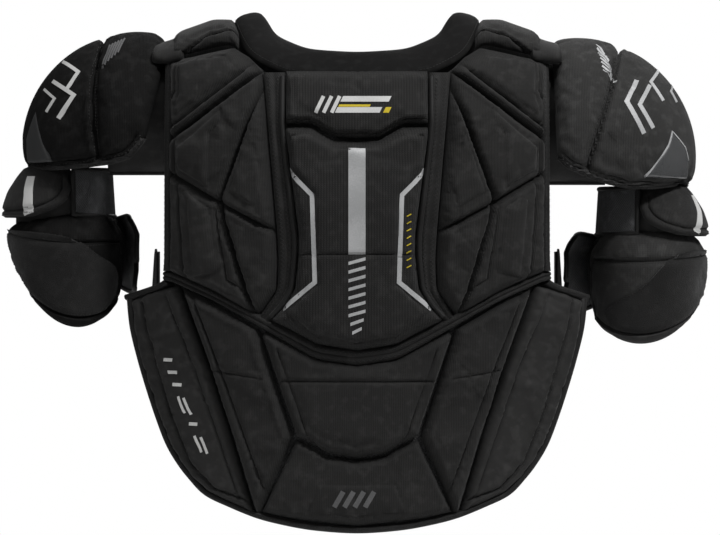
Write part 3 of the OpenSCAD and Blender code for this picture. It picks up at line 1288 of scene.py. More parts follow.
def score(bm: bmesh.types.BMesh, start: Vector, end: Vector, reach: float) -> None:
    """Cuts the faces that a short straight line crosses along that line.

    Args:
        bm: A flat bmesh.
        start: Start of the line.
        end: End of the line.
        reach: Distance from the line within which faces are cut.
    """
    along = end - start
    length = along.length
    if length < 1e-6:
        return
    along /= length
    across = Vector((-along.y, along.x, 0))
    near = []
    for face in bm.faces:
        off = face.calc_center_median() - start
        if abs(off.dot(across)) < reach and -reach < off.dot(along) < length + reach:
            near.append(face)
    edges = {e for f in near for e in f.edges}
    verts = {v for f in near for v in f.verts}
    bmesh.ops.bisect_plane(
        bm, geom=list(verts) + list(edges) + near, dist=0.12, plane_co=start, plane_no=across
    )


@dataclass(frozen=True)
class Seam:
    """A sewn line in a pad."""

    path: Path
    width: float = 7.0
    floor: float = 0.35


@dataclass(frozen=True)
class Plate:
    """A raised field of a pad."""

    outline: Path
    rise: float = 2.0
    bevel: float = 4.0


@dataclass
class Panel:
    """A pad cut to an outline on a chart, crowned between its rim and its seams."""

    name: str
    chart: Chart
    outline: Path
    base: float
    crown: float
    roll: float = 9.0
    rim: float = 0.3
    seams: Sequence[Seam] = ()
    plates: Sequence[Plate] = ()
    step: float = 2.2
    swell: float = 0.0

    def relief(self, a: Array, b: Array) -> tuple[Array, Array]:
        """Works out how high the padding stands.

        Args:
            a: First coordinates.
            b: Second coordinates.

        Returns:
            The share of the full height, and the plates' rise in millimetres.
        """
        spots = self.chart.point(a, b, 0 * a)
        share = shoulder(gap_to(spots, self.line(self.outline, True)), self.roll, self.rim)
        for seam in self.seams:
            share = share * shoulder(gap_to(spots, self.line(seam.path, False)), seam.width, seam.floor)
        rise = np.zeros(len(a))
        for plate in self.plates:
            gap = gap_to(spots, self.line(plate.outline, True))
            rise += plate.rise * np.where(inside(a, b, plate.outline), shoulder(gap, plate.bevel, 0.0), 0)
        return share, rise

    def line(self, path: Path, closed: bool) -> Array:
        """Samples a flat line on the chart, one point every half millimetre."""
        flat = dense(path, 0.6, closed)
        return self.chart.point(flat[:, 0], flat[:, 1], 0 * flat[:, 0])

    def build(self) -> bpy.types.Object:
        """Builds the pad.

        Returns:
            The closed piece, in place.
        """
        scores = [s.path for s in self.seams] + [list(p.outline) + [p.outline[0]] for p in self.plates]
        bm = cut_face(self.outline, self.step, scores)
        made = bmesh.ops.extrude_face_region(bm, geom=bm.faces[:], use_keep_orig=True)
        tops = [v for v in made["geom"] if isinstance(v, bmesh.types.BMVert)]
        bmesh.ops.translate(bm, verts=tops, vec=(0, 0, 1))
        piece = to_object(bm, self.name)
        flat = read_points(piece.data)
        a, b, top = flat[:, 0], flat[:, 1], flat[:, 2] > 0.5
        share, rise = self.relief(a, b)
        height = self.base + (self.crown - self.base) * share + rise
        write_points(piece.data, self.chart.point(a, b, np.where(top, height, self.base)) * MM)
        write_uv(piece.data, self.chart.cloth(a, b))
        write_number(piece.data, RELIEF, share)
        turn_outward(piece)
        if self.swell > 0:
            inflate(piece, top & (share > 0.62), self.swell)
        return piece


def inflate(
    piece: bpy.types.Object, free: Array, most: float, pressure: float = 4.0, frames: int = 14
) -> None:
    """Blows up the free part of a pad as cloth and keeps the result.

    Args:
        piece: The closed pad.
        free: True for each vertex that may move.
        most: Largest movement in millimetres.
        pressure: Air pressure in the pad.
        frames: Number of frames that are simulated.
    """
    before = read_points(piece.data)
    held = piece.vertex_groups.new(name="held")
    held.add([int(i) for i in np.nonzero(~free)[0]], 1.0, "REPLACE")
    cloth = piece.modifiers.new("Swell", "CLOTH")
    cloth.settings.quality = 4
    cloth.settings.mass = 0.25
    cloth.settings.tension_stiffness = 12
    cloth.settings.compression_stiffness = 12
    cloth.settings.shear_stiffness = 6
    cloth.settings.bending_stiffness = 0.4
    cloth.settings.vertex_group_mass = "held"
    cloth.settings.shrink_min = -0.045
    cloth.settings.use_pressure = True
    cloth.settings.uniform_pressure_force = pressure
    cloth.settings.effector_weights.gravity = 0
    cloth.collision_settings.use_collision = False
    cloth.collision_settings.use_self_collision = False
    cloth.point_cache.frame_start = 1
    cloth.point_cache.frame_end = frames
    scene = bpy.context.scene
    for number in range(1, frames + 1):
        scene.frame_set(number)
    shaped = piece.evaluated_get(bpy.context.evaluated_depsgraph_get())
    after = read_points(shaped.data)
    piece.modifiers.remove(cloth)
    piece.vertex_groups.remove(held)
    scene.frame_set(1)
    move = after - before
    size = np.linalg.norm(move, axis=1, keepdims=True)
    cap = most * MM
    scale = np.where(size > 1e-9, cap * np.tanh(size / cap) / np.maximum(size, 1e-9), 0)
    write_points(piece.data, before + move * scale * free.reshape(-1, 1))
    piece.data.shade_smooth()


def mapped_slab(
    name: str,
    steps: tuple[int, int],
    at: Callable[[Array, Array, float], Array],
    faces: tuple[float, float],
    size: tuple[float, float],
) -> bpy.types.Object:
    """Bends a grid and its copy onto two surfaces and walls them together.

    Args:
        name: Name of the piece.
        steps: Squares along u and along v.
        at: Points in millimetres of a face, from u and v between 0 and 1 and from the face's number.
        faces: Numbers of the outer and of the inner face.
        size: Length along u and v in millimetres, for the weave.

    Returns:
        The closed piece, in place.
    """
    bm = bmesh.new()
    bmesh.ops.create_grid(bm, x_segments=steps[0], y_segments=steps[1], size=0.5)
    made = bmesh.ops.extrude_face_region(bm, geom=bm.faces[:], use_keep_orig=True)
    bmesh.ops.translate(
        bm, verts=[v for v in made["geom"] if isinstance(v, bmesh.types.BMVert)], vec=(0, 0, 1)
    )
    piece = to_object(bm, name)
    flat = read_points(piece.data)
    u, v, top = flat[:, 0] + 0.5, flat[:, 1] + 0.5, flat[:, 2:] > 0.5
    write_points(piece.data, np.where(top, at(u, v, faces[0]), at(u, v, faces[1])) * MM)
    write_uv(piece.data, np.column_stack((u * size[0], v * size[1])))
    write_number(piece.data, RELIEF, np.ones(len(u)))
    turn_outward(piece)
    return piece


def strap(
    name: str, centre: Array, across: Array, out: Array, width: float, thick: float, rows: int = 4
) -> bpy.types.Object:
    """Lays a flat band along a line.

    Args:
        name: Name of the piece.
        centre: Points of the band's middle line in millimetres.
        across: Direction of its width at each point.
        out: Direction of its face at each point.
        width: Its width in millimetres.
        thick: Its thickness in millimetres.
        rows: Squares across it.

    Returns:
        The closed piece, in place.
    """
    along = np.linspace(0, 1, len(centre))

    def at(u: Array, v: Array, d: float) -> Array:
        """Points of one face of the band.

        Args:
            u: Share along the strip, 0 to 1.
            v: Share across it, 0 to 1.
            d: Height of the face.

        Returns:
            Points in millimetres, one row each.
        """
        spot = np.column_stack([np.interp(u, along, centre[:, k]) for k in range(3)])
        side = np.column_stack([np.interp(u, along, across[:, k]) for k in range(3)])
        face = np.column_stack([np.interp(u, along, out[:, k]) for k in range(3)])
        thin = 1 - 0.6 * np.abs(2 * v - 1) ** 6
        return spot + side * ((v - 0.5) * width).reshape(-1, 1) + face * (d * thin).reshape(-1, 1)

    length = float(np.linalg.norm(np.diff(centre, axis=0), axis=1).sum())
    return mapped_slab(
        name, (len(centre) - 1, rows), at, (thick / 2, -thick / 2), (length, width)
    )


def unit(vectors: Array) -> Array:
    """Scales each row to length 1."""
    return vectors / np.maximum(np.linalg.norm(vectors, axis=1, keepdims=True), 1e-9)


class Skin:
    """The finished outer surface of some pieces, on which prints and stitches land."""

    def __init__(self, *pieces: bpy.types.Object) -> None:
        """Collects the surfaces.

        Args:
            pieces: Finished pieces.
        """
        bm = bmesh.new()
        for piece in pieces:
            bm.from_mesh(piece.data)
        bmesh.ops.triangulate(bm, faces=bm.faces[:])
        self.tree = BVHTree.FromBMesh(bm)
        bm.free()

    def land(self, starts: Array, ends: Array) -> tuple[Array, Array]:
        """Drops points on the surface.

        Args:
            starts: Points outside in millimetres.
            ends: Points inside that they fall towards.

        Returns:
            Where they land in millimetres, and the surface's direction there.
        """
        spots, ways = np.array(ends, float), unit(starts - ends)
        for i, (start, end) in enumerate(zip(starts, ends)):
            ray = Vector(end - start).normalized()
            spot, normal, _, _ = self.tree.ray_cast(Vector(start) * MM, ray, 0.12)
            if spot is not None:
                spots[i] = np.array(spot) / MM
                ways[i] = np.array(normal if normal.dot(ray) < 0 else -normal)
        return spots, ways

    def on(self, chart: Chart, a: Array, b: Array, reach: float = 30.0) -> tuple[Array, Array]:
        """Drops chart coordinates on the surface.

        Args:
            chart: The chart.
            a: First coordinates.
            b: Second coordinates.
            reach: Height in millimetres from which they fall.

        Returns:
            Where they land, and the surface's direction there.
        """
        return self.land(chart.point(a, b, 0 * a + reach), chart.point(a, b, 0 * a - 6))



def printed(
    name: str,
    shapes: Sequence[Path],
    chart: Chart,
    skin: Skin,
    thick: float = 0.35,
    step: float = 2.5,
    reach: float = 30.0,
) -> bpy.types.Object:
    """Prints flat shapes on a finished surface.

    Args:
        name: Name of the piece.
        shapes: Outlines of the shapes on the chart.
        chart: The chart they are drawn on.
        skin: The surface.
        thick: How far the print stands out in millimetres.
        step: Size of its squares.
        reach: Height from which it falls on the surface.

    Returns:
        The closed piece, in place.
    """
    whole = bmesh.new()
    for shape in shapes:
        bm = cut_face(shape, step)
        made = bmesh.ops.extrude_face_region(bm, geom=bm.faces[:], use_keep_orig=True)
        bmesh.ops.translate(
            bm, verts=[v for v in made["geom"] if isinstance(v, bmesh.types.BMVert)], vec=(0, 0, 1)
        )
        part = bpy.data.meshes.new("part")
        bm.to_mesh(part)
        bm.free()
        whole.from_mesh(part)
        bpy.data.meshes.remove(part)
    piece = to_object(whole, name)
    flat = read_points(piece.data)
    spots, ways = skin.on(chart, flat[:, 0], flat[:, 1], reach)
    lift = np.where(flat[:, 2] > 0.5, thick, -0.5).reshape(-1, 1)
    write_points(piece.data, (spots + ways * lift) * MM)
    write_number(piece.data, RELIEF, np.ones(len(flat)))
    write_uv(piece.data, flat[:, :2])
    turn_outward(piece, 80)
    return piece


def bar(start: tuple[float, float], end: tuple[float, float], width: float) -> list[tuple[float, float]]:
    """Outline of a straight bar.

    Args:
        start: One end of its middle line.
        end: The other end.
        width: Its width.

    Returns:
        Its four corners.
    """
    run = np.array(end, float) - np.array(start, float)
    run /= np.linalg.norm(run)
    side = np.array((-run[1], run[0])) * width / 2
    p, q = np.array(start, float), np.array(end, float)
    return [tuple(p - side), tuple(q - side), tuple(q + side), tuple(p + side)]


@dataclass
class Sewing:
    """Rows of stitches gathered into one piece."""

    name: str
    pitch: float = 3.2
    length: float = 2.2
    thick: float = 0.75

    def __post_init__(self) -> None:
        """Starts with no stitches."""
        self.bm = bmesh.new()

    def row(self, chart: Chart, path: Path, skin: Skin, zigzag: float = 0.0, reach: float = 30.0) -> None:
        """Sews one row along a line of a chart.

        Args:
            chart: The chart.
            path: The line on it.
            skin: The surface that is sewn.
            zigzag: Lean of the stitches in degrees, turned over at each stitch.
            reach: Height from which the row falls on the surface.
        """
        flat = dense(path, 1.0)
        space = chart.point(flat[:, 0], flat[:, 1], 0 * flat[:, 0])
        far = np.concatenate(([0], np.cumsum(np.linalg.norm(np.diff(space, axis=0), axis=1))))
        count = max(2, int(far[-1] / self.pitch))
        at = (np.arange(count) + 0.5) * far[-1] / count
        spots, ways = skin.on(chart, np.interp(at, far, flat[:, 0]), np.interp(at, far, flat[:, 1]), reach)
        runs = unit(np.gradient(spots, axis=0))
        for i, (spot, way, run) in enumerate(zip(spots, ways, runs)):
            normal, along = Vector(way).normalized(), Vector(run)
            side = normal.cross(along).normalized()
            along = side.cross(normal).normalized()
            turn = math.radians(zigzag if i % 2 else -zigzag)
            head = along * math.cos(turn) + side * math.sin(turn)
            frame_of = Matrix((head, normal.cross(head), normal)).transposed().to_4x4()
            size = Matrix.Diagonal((self.length * MM, self.thick * MM, self.thick * MM, 1))
            place = Matrix.Translation((Vector(spot) + normal * 0.12) * MM) @ frame_of @ size
            bmesh.ops.create_uvsphere(self.bm, u_segments=6, v_segments=4, radius=0.5, matrix=place)

    def build(self) -> bpy.types.Object:
        """Ends the sewing.

        Returns:
            The piece with all the stitches.
        """
        bmesh.ops.recalc_face_normals(self.bm, faces=self.bm.faces[:])
        piece = to_object(self.bm, self.name)
        piece.data.shade_smooth()
        return piece


@dataclass(frozen=True)
class Stitch:
    """Pitch, length, thickness and lean of a kind of stitch."""

    pitch: float
    length: float
    thick: float
    zigzag: float = 0.0

    def sew(
        self,
        name: str,
        chart: Chart,
        rows: Sequence[Path],
        skin: Skin,
        body: Optional[str],
    ) -> bpy.types.Object:
        """Sews rows along lines of a chart and dresses them.

        Args:
            name: Name of the piece.
            chart: The chart.
            rows: The lines on it.
            skin: The surface that is sewn.
            body: The body that the thread rides on, or None.

        Returns:
            The piece with all the stitches.
        """
        sewing = Sewing(name, self.pitch, self.length, self.thick)
        for row in rows:
            sewing.row(chart, row, skin, self.zigzag)
        return dress(sewing.build(), THREAD, body)


def dress(
    piece: bpy.types.Object,
    finish: Finish,
    body: Optional[str],
    nodes: Sequence[str] = (),
) -> bpy.types.Object:
    """Gives a piece its material and its body.

    Args:
        piece: The finished piece.
        finish: Its finish.
        body: The body it rides on, or None.
        nodes: CAD nodes that it stands for.

    Returns:
        The piece.
    """
    piece.data.materials.clear()
    piece.data.materials.append(finish.material())
    if body:
        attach(piece, body)
    if nodes:
        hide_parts(*nodes)
    log.info("%s: %d faces", piece.name, len(piece.data.polygons))
    return piece


def bare(node: str, finish: Finish) -> None:
    """Gives a CAD node that stays in use its finish.

    Args:
        node: Name of the node.
        finish: The finish.
    """
    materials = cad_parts[node].data.materials
    materials.clear()
    materials.append(finish.material())


def offset(path: Path, distance: float) -> list[tuple[float, float]]:
    """Moves an open line sideways, to its left.

    Args:
        path: The line.
        distance: How far it moves.

    Returns:
        The moved line, corner by corner.
    """
    points = np.array(path, float)
    runs = unit(np.diff(points, axis=0))
    sides = np.column_stack((-runs[:, 1], runs[:, 0]))
    found = []
    for i, spot in enumerate(points):
        one, two = sides[max(i - 1, 0)], sides[min(i, len(sides) - 1)]
        way = one + two
        way /= max(np.linalg.norm(way), 0.35)
        found.append(tuple(spot + way * distance / max(0.5, float(way @ two))))
    return found


def ribbon(path: Path, left: float, right: float) -> list[tuple[float, float]]:
    """Outline of a band along a line.

    Args:
        path: The line.
        left: Reach to its left.
        right: Reach to its right.

    Returns:
        The closed outline.
    """
    return offset(path, left) + offset(path, -right)[::-1]


def tube(name: str, spots: Array, radius: float) -> bpy.types.Object:
    """Makes a round piping along points.

    Args:
        name: Name of the piece.
        spots: Points in millimetres.
        radius: Its radius in millimetres.

    Returns:
        The closed piece, in place.
    """
    curve = bpy.data.curves.new(name, "CURVE")
    curve.dimensions = "3D"
    curve.bevel_depth = radius * MM
    curve.bevel_resolution = 2
    curve.use_fill_caps = True
    line = curve.splines.new("POLY")
    line.points.add(len(spots) - 1)
    line.points.foreach_set("co", np.column_stack((spots * MM, np.ones(len(spots)))).ravel())
    holder = bpy.data.objects.new(name + "_line", curve)
    bpy.context.scene.collection.objects.link(holder)
    bpy.context.view_layer.update()
    mesh = bpy.data.meshes.new_from_object(holder.evaluated_get(bpy.context.evaluated_depsgraph_get()))
    mesh.name = name
    bpy.data.objects.remove(holder)
    bm = bmesh.new()
    bm.from_mesh(mesh)
    bmesh.ops.remove_doubles(bm, verts=bm.verts[:], dist=1e-6)
    bm.to_mesh(mesh)
    bm.free()
    piece = bpy.data.objects.new(name, mesh)
    bpy.context.scene.collection.objects.link(piece)
    points = read_points(mesh) / MM
    write_uv(mesh, points[:, [0, 2]] + points[:, [1, 1]])
    write_number(mesh, RELIEF, np.full(len(points), 0.8))
    turn_outward(piece, 70)
    return piece


def chart_line(chart: Chart, path: Path, d: float, spacing: float = 2.5) -> Array:
    """Finds points in space along a line of a chart.

    Args:
        chart: The chart.
        path: The line on it.
        d: Height above the surface.
        spacing: Distance between the points.

    Returns:
        Points in millimetres, one row each.
    """
    flat = dense(path, spacing)
    return chart.point(flat[:, 0], flat[:, 1], 0 * flat[:, 0] + d)


# ----------------------------------------------------------------- the torso

WAIST_SEAM = Curve(((0, -277), (36, -272), (84, -246), (128, -222), (170, -203)), 5)


@dataclass
class TorsoBack:
    """Pads, tapes and prints of the upper back."""

    body: str = "torso_back"
    pad_crown: float = 14.0
    label_crown: float = 11.5
    tape_crown: float = 6.0
    liner_low: float = -5.0
    liner_high: float = -1.4
    inner_rail: tuple[tuple[float, float], ...] = (
        (-246, 81), (-243, 79), (-232, 68), (
            -216, 57.5
        ), (-185, 54), (-169, 54), (-107, 61.5), (-69, 65.8), (-20, 65.4)
    )
    outer_rail: tuple[tuple[float, float], ...] = (
        (-246, 93), (-240, 88), (-216, 72), (-190, 71), (-163, 72.4), (-91, 78.7), (-40, 83.4), (-20, 85.5)
    )
    blade_outline: tuple[tuple[float, float], ...] = (
        (87.5, -18), (85, -40), (80.5, -91), (74, -163), (72.5, -190), (73.5, -216), (90, -238.5), (
            102, -232.5
        ),
        (128, -217.5), (
            141, -211.5
        ), (163, -202), (168.5, -200), (168.5, -150), (168.5, -80), (168.5, -8), (150, -5),
        (132, -1), (114, 2.5), (100, -6),
    )

    def build(self) -> None:
        """Builds the whole upper back."""
        self.lining()
        self.plate()
        spine = self.spine()
        for side in Side:
            self.blade(side)
            self.tapes(side)
        self.prints(spine)

    def lining(self) -> None:
        """Builds the mesh lining."""
        outline = both_sides(
            [
                (0, -31), (69, -31), (88, -19), (114, 0), (150, -8), (180, -12), (180, -197),
                (128, -216), (84, -240), (36, -266), (0, -271),
            ]
        )
        piece = Panel("back_lining", BACK, outline, self.liner_low, self.liner_high, 2.5, 0.7, step=5).build()
        dress(piece, SPACER, self.body, ["back_liner"])

    def plate(self) -> None:
        """Gives the stiff plate its plastic."""
        bare("spine_plate", DARK_PLASTIC)

    def spine(self) -> list[bpy.types.Object]:
        """Builds the label pad and the long spine pad.

        Returns:
            Both pads.
        """
        top = both_sides([(0, -19), (64, -19), (64.3, -66.5), (41, -66.5), (20, -78.5), (0, -79.5)])
        hem = ((-64, -62.5), (-42, -62.5), (-20, -74.5), (20, -74.5), (42, -62.5), (64, -62.5))
        label = Panel(
            "label_pad",
            BACK,
            top,
            0.3,
            self.label_crown,
            7,
            0.35,
            (Seam(hem, 3.2, 0.72),),
            swell=1.2,
        ).build()
        dress(label, RIB_KNIT, self.body, ["upper_spine_pad"])
        long = both_sides(
            [(0, -83), (20, -82), (41, -70), (64.5, -70), (64, -80), (60.3, -107), (52.8, -165),
             (52.8, -185), (56, -214),
             (66, -231.5), (78, -243), (60, -251.5), (36, -264.5), (0, -270.5)]
        )
        plate = both_sides(
            [
                (0, -89), (21, -88), (42, -76), (58, -77), (56, -104), (36.5, -131), (34, -211),
                (62, -236), (36, -257), (0, -263),
            ]
        )
        spine = Panel(
            "spine_pad_cover", BACK, long, 0.3, self.pad_crown - 1.5, 8, 0.3,
            (Seam(((-50, -184), (50, -184)), 3.0, 0.86),), (Plate(plate, 2.6, 5.0),), swell=1.0,
        ).build()
        dress(spine, RIB_KNIT, self.body, ["spine_pad"])
        rows = [[(a, b + shift) for a, b in hem] for shift in (0.0, -2.2)]
        Stitch(3.0, 2.1, 0.6).sew("spine_stitches", BACK, rows, Skin(label, spine), self.body)
        return [label, spine]

    def blade(self, side: Side) -> None:
        """Builds one shoulder blade pad with its sewn channels.

        Args:
            side: The wearer's side.
        """
        seams = (
            Seam(((85.7, -19), (100, -29.7), (173, -85)), 6.5, 0.2),
            Seam(((93, -12), (173, -75)), 4.0, 0.62),
            Seam(((84.5, -33), (96, -62), (121.6, -135.6)), 5.5, 0.3),
            Seam(((172.5, -107), (146, -123), (123, -137), (98, -150.5), (74, -163)), 6.0, 0.35),
            Seam(((121.8, -137), (112, -172), (99, -216), (91, -236)), 5.5, 0.3),
            Seam(((125, -141), (114.6, -206.6), (106, -212), (100, -217)), 3.0, 0.8),
            Seam(((161.4, -5.4), (160.5, -36.6), (166, -49), (164.5, -69)), 3.2, 0.72),
            Seam(((160.6, -80), (160.6, -112)), 3.2, 0.72),
            Seam(((158, -118), (152.7, -204)), 3.2, 0.72),
        )
        plates = (
            Plate(((157, -87), (157, -107.5), (130, -124), (129, -75), (119, -63), (119, -53)), 2.2, 4.5),
            Plate(((149, -127), (130, -142), (121, -200), (143, -204)), 2.0, 4.5),
            Plate(((156, -10), (155, -38), (160, -51), (159, -58), (104, -17), (116, -4)), 2.0, 5.0),
            Plate(((93, -72), (112, -128), (88, -142), (82, -120)), 1.4, 5.0),
        )
        piece = Panel(
            f"{side.word}_blade_pad", BACK, mirrored(
                self.blade_outline, side
            ), 0.3, self.pad_crown - 1.5, 8.5, 0.3,
            [Seam(mirrored(s.path, side), s.width, s.floor) for s in seams],
            [Plate(mirrored(p.outline, side), p.rise, p.bevel) for p in plates],
            2.0, swell=1.2,
        ).build()
        dress(piece, FINE_KNIT, self.body, [f"{side.word}_scapula_pad"])
        beside = ((0, 2.4), (0, -2.4), (3, 2.2), (3, -2.2), (4, 2.0), (2, -2.0))
        rows = [mirrored(offset(seams[i].path, shift), side) for i, shift in beside]
        Stitch(3.0, 2.0, 0.55).sew(
            f"{side.word}_blade_stitches", BACK, rows, Skin(piece), self.body
        )

    def tapes(self, side: Side) -> None:
        """Builds the tape beside the spine, its piping and the armhole binding.

        Args:
            side: The wearer's side.
        """
        inner, outer = Curve(self.inner_rail, 3), Curve(self.outer_rail, 3)

        def at(u: Array, v: Array, high: float) -> Array:
            """Points of the tape's face.

            Args:
                u: Share along the strip, 0 to 1.
                v: Share across it, 0 to 1.
                high: Height of the face.

            Returns:
                Points in millimetres, one row each.
            """
            z = -246 + 226 * u
            x = inner(z) + (outer(z) - inner(z)) * v
            edge = 1 - 0.45 * np.abs(2 * v - 1) ** 5 - 0.18 * np.exp(-(((v - 0.5) / 0.09) ** 2))
            return BACK.point(side.value * x, z, 0.3 + (high - 0.3) * edge)

        piece = mapped_slab(
            f"{side.word}_spine_binding", (110, 12), at, (self.tape_crown, 0.31), (221, 19)
        )
        dress(piece, TAPE, self.body, [f"{side.word}_spine_tape"])
        heights = np.linspace(-238, -24, 60)
        rows = [
            [
                (side.value * (inner(z) + (outer(z) - inner(z)) * share), z) for z in heights
            ] for share in (0.34, 0.74)
        ]
        Stitch(1.9, 4.6, 0.65, 52.0).sew(
            f"{side.word}_spine_zigzag", BACK, rows, Skin(piece), self.body
        )
        line = [(side.value * (float(inner(z)) + 1.5), z) for z in np.linspace(-240, -24, 90)]
        piping = tube(f"{side.word}_spine_piping", chart_line(BACK, line, 6.2), 2.3)
        dress(piping, BINDING, self.body)
        binding = Curve(((-206, 171.5), (-190, 170), (-10, 169.8)), 3)

        def edge(u: Array, v: Array, reach: float) -> Array:
            """Points of the armhole binding, which folds round the edge.

            Args:
                u: Share along the strip, 0 to 1.
                v: Share across it, 0 to 1.
                reach: How far the face stands off the edge.

            Returns:
                Points in millimetres, one row each.
            """
            z = -199 + 202 * u
            x = binding(z) + (v - 0.5) * 8.2
            round_ = np.sqrt(np.clip(1 - np.abs(2 * v - 1) ** 3, 0.02, 1))
            return BACK.point(side.value * x, z, 1.5 + reach * round_)

        hem = mapped_slab(f"{side.word}_armhole_binding", (90, 10), edge, (7.2, -6.4), (194, 12))
        dress(hem, BINDING, self.body, [f"{side.word}_armhole_tape"])
        heights = np.linspace(-195, -4, 50)
        rows = [[(side.value * (float(binding(z)) + shift), z) for z in heights] for shift in (-1.6, 1.6)]
        Stitch(2.6, 2.6, 0.6, 38.0).sew(
            f"{side.word}_armhole_stitches", BACK, rows, Skin(hem), self.body
        )

    def prints(self, pads: Sequence[bpy.types.Object]) -> None:
        """Prints the plain bars on the label pad and the spine pad.

        Args:
            pads: Both pads.
        """
        skin = Skin(*pads)
        low, high = -57.0, -42.0
        bars = [bar((x, low), (x + 7, high), w) for x, w in ((-36, 3.2), (-29, 3.2), (-22, 3.2))]
        bars.append([(-12, high), (30, high), (27.6, high - 5), (-14.4, high - 5)])
        bars.append([(-16.8, low + 5), (22, low + 5), (19.6, low), (-19.2, low)])
        dress(printed("label_bars", bars, BACK, skin), WHITE, self.body)
        accent = [
            [(-15.2, -49.6), (12, -49.6), (11, -51.6), (-16.2, -51.6)],
            [(25, low + 5), (30, low + 5), (27.6, low), (22.6, low)],
        ]
        dress(printed("label_accent", accent, BACK, skin), YELLOW, self.body)
        middle = [[(-7.3, -89), (7.3, -89), (7.3, -184), (-7.3, -184)]]
        hatch = []
        for i in range(9):
            z = -186.5 - 7.8 * i
            half = 7.3 if i < 7 else 7.3 - 1.6 * (i - 6)
            hatch.append([(-half, z - 4.2), (half, z), (half, z - 2.9), (-half, z - 7.1)])
        dress(printed("spine_bars", middle + hatch, BACK, skin), SILVER, self.body)
        lines = []
        for side in Side:
            path = [(62, -107), (38.8, -131), (36.5, -209), (66, -233.5)]
            lines.append(mirrored(ribbon(path, 2.0, 2.0), side))
        dress(printed("spine_side_lines", lines, BACK, skin), SILVER, self.body)
        ticks = [bar((43, z), (47, z + 2.2), 0.9) for z in np.linspace(-196, -150, 8)]
        dress(printed("spine_ticks", ticks, BACK, skin, step=4), YELLOW, self.body)


@dataclass
class Shoulders:
    """The collar and the yokes, which run over the shoulders from back to front."""

    body: str = "torso_back"
    collar_half: float = 5.0
    yoke_base: float = 1.0
    yoke_crown: float = 13.5

    def build(self) -> None:
        """Builds the collar and both yokes."""
        self.collar()
        for side in Side:
            self.yoke(side)

    def collar(self) -> None:
        """Builds the collar as one band, open at the front."""

        def at(u: Array, v: Array, sign: float) -> Array:
            """Points of one face of the collar.

            Args:
                u: Share along the strip, 0 to 1.
                v: Share across it, 0 to 1.
                sign: 1 for the outer face and -1 for the inner one.

            Returns:
                Points in millimetres, one row each.
            """
            turn = -170.5 + 341 * u
            ends = np.clip(np.minimum(u, 1 - u) / 0.015, 0, 1)
            round_ = np.sqrt(np.clip(1 - np.abs(2 * v - 1) ** 3.2, 0.015, 1)) * (0.35 + 0.65 * np.sqrt(ends))
            return COLLAR.point(turn, v, sign * self.collar_half * round_)

        piece = mapped_slab("collar", (170, 18), at, (1, -1), (640, 40))
        dress(
            piece,
            NEOPRENE,
            None,
            ["back_collar", "left_front_collar", "right_front_collar"],
        )
        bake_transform(piece)
        sewing = Sewing("collar_stitches", 3.2, 2.2, 0.6)
        skin = Skin(piece)
        line = [(a, 0.93) for a in np.linspace(-168, 168, 120)]
        sewing.row(COLLAR, line, skin, 0.0, 14.0)
        threads = dress(sewing.build(), THREAD, None)
        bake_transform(threads)

    def yoke(self, side: Side) -> None:
        """Builds one yoke pad over the shoulder.

        Args:
            side: The wearer's side.
        """
        chart = YokeChart(side)
        outline = [(107, 1.5), (170, 1.5), (170, 157), (107, 157)]
        seams = (
            Seam(((107, 34), (138, 26), (150, 12), (152, 1.5)), 4.0, 0.55),
            Seam(((107, 128), (170, 132)), 3.5, 0.75),
        )
        piece = Panel(
            f"{side.word}_yoke",
            chart,
            outline,
            self.yoke_base,
            self.yoke_crown,
            9,
            0.3,
            seams,
            step=2.6,
            swell=1.2,
        ).build()
        dress(piece, FINE_KNIT, None, [f"{side.word}_yoke_pad", f"{side.word}_front_yoke"])
        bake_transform(piece)
        rows = [offset(seams[0].path, shift) for shift in (-1.8, 1.8)]
        threads = Stitch(3.0, 2.0, 0.55).sew(
            f"{side.word}_yoke_stitches", chart, rows, Skin(piece), None
        )
        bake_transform(threads)
        bridge = [(157, -16), (186, -20), (186, 76), (157, 78)]
        band = Panel(f"{side.word}_shoulder_band", chart, bridge, 4.0, 10.5, 3.5, 0.4, step=2.6).build()
        dress(band, TAPE, self.body)


@dataclass
class Waist:
    """The double-stitched band in the V-shaped seam between back and apron."""

    reach: float = 174.0
    crown: float = 7.5

    def build(self) -> None:
        """Builds both halves of the band."""
        for side in Side:
            self.half(side)

    def half(self, side: Side) -> None:
        """Builds one half and bakes it in place.

        Args:
            side: The wearer's side.
        """
        width = Curve(((0, 7.2), (60, 6.4), (95, 5.2), (170, 4.9)), 6)

        def at(u: Array, v: Array, high: float) -> Array:
            """Points of one face of the band.

            Args:
                u: Share along the strip, 0 to 1.
                v: Share across it, 0 to 1.
                high: Height of the face.

            Returns:
                Points in millimetres, one row each.
            """
            x = -0.6 + (self.reach + 0.6) * u
            z = WAIST_SEAM(x) + (2 * v - 1) * width(x)
            edge = 1 - 0.5 * np.abs(2 * v - 1) ** 5 - 0.12 * np.exp(-(((v - 0.5) / 0.08) ** 2))
            return BACK.point(side.value * x, z, -3 + (high + 3) * edge)

        piece = mapped_slab(f"{side.word}_waist_band", (96, 10), at, (self.crown, -2.9), (190, 13))
        dress(piece, TAPE, None)
        across = np.linspace(1, self.reach - 1, 70)
        rows = [
            [
                (side.value * x, float(WAIST_SEAM(x)) + shift * float(width(x))) for x in across
            ] for shift in (-0.5, 0.5)
        ]
        threads = Stitch(2.2, 3.2, 0.62, 42.0).sew(
            f"{side.word}_waist_stitches", BACK, rows, Skin(piece), None
        )
        for part in (piece, threads):
            self.bend(part)

    def bend(self, part: bpy.types.Object) -> None:
        """Bakes a part of the band's placement into its mesh.

        Args:
            part: The part.
        """
        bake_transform(part)


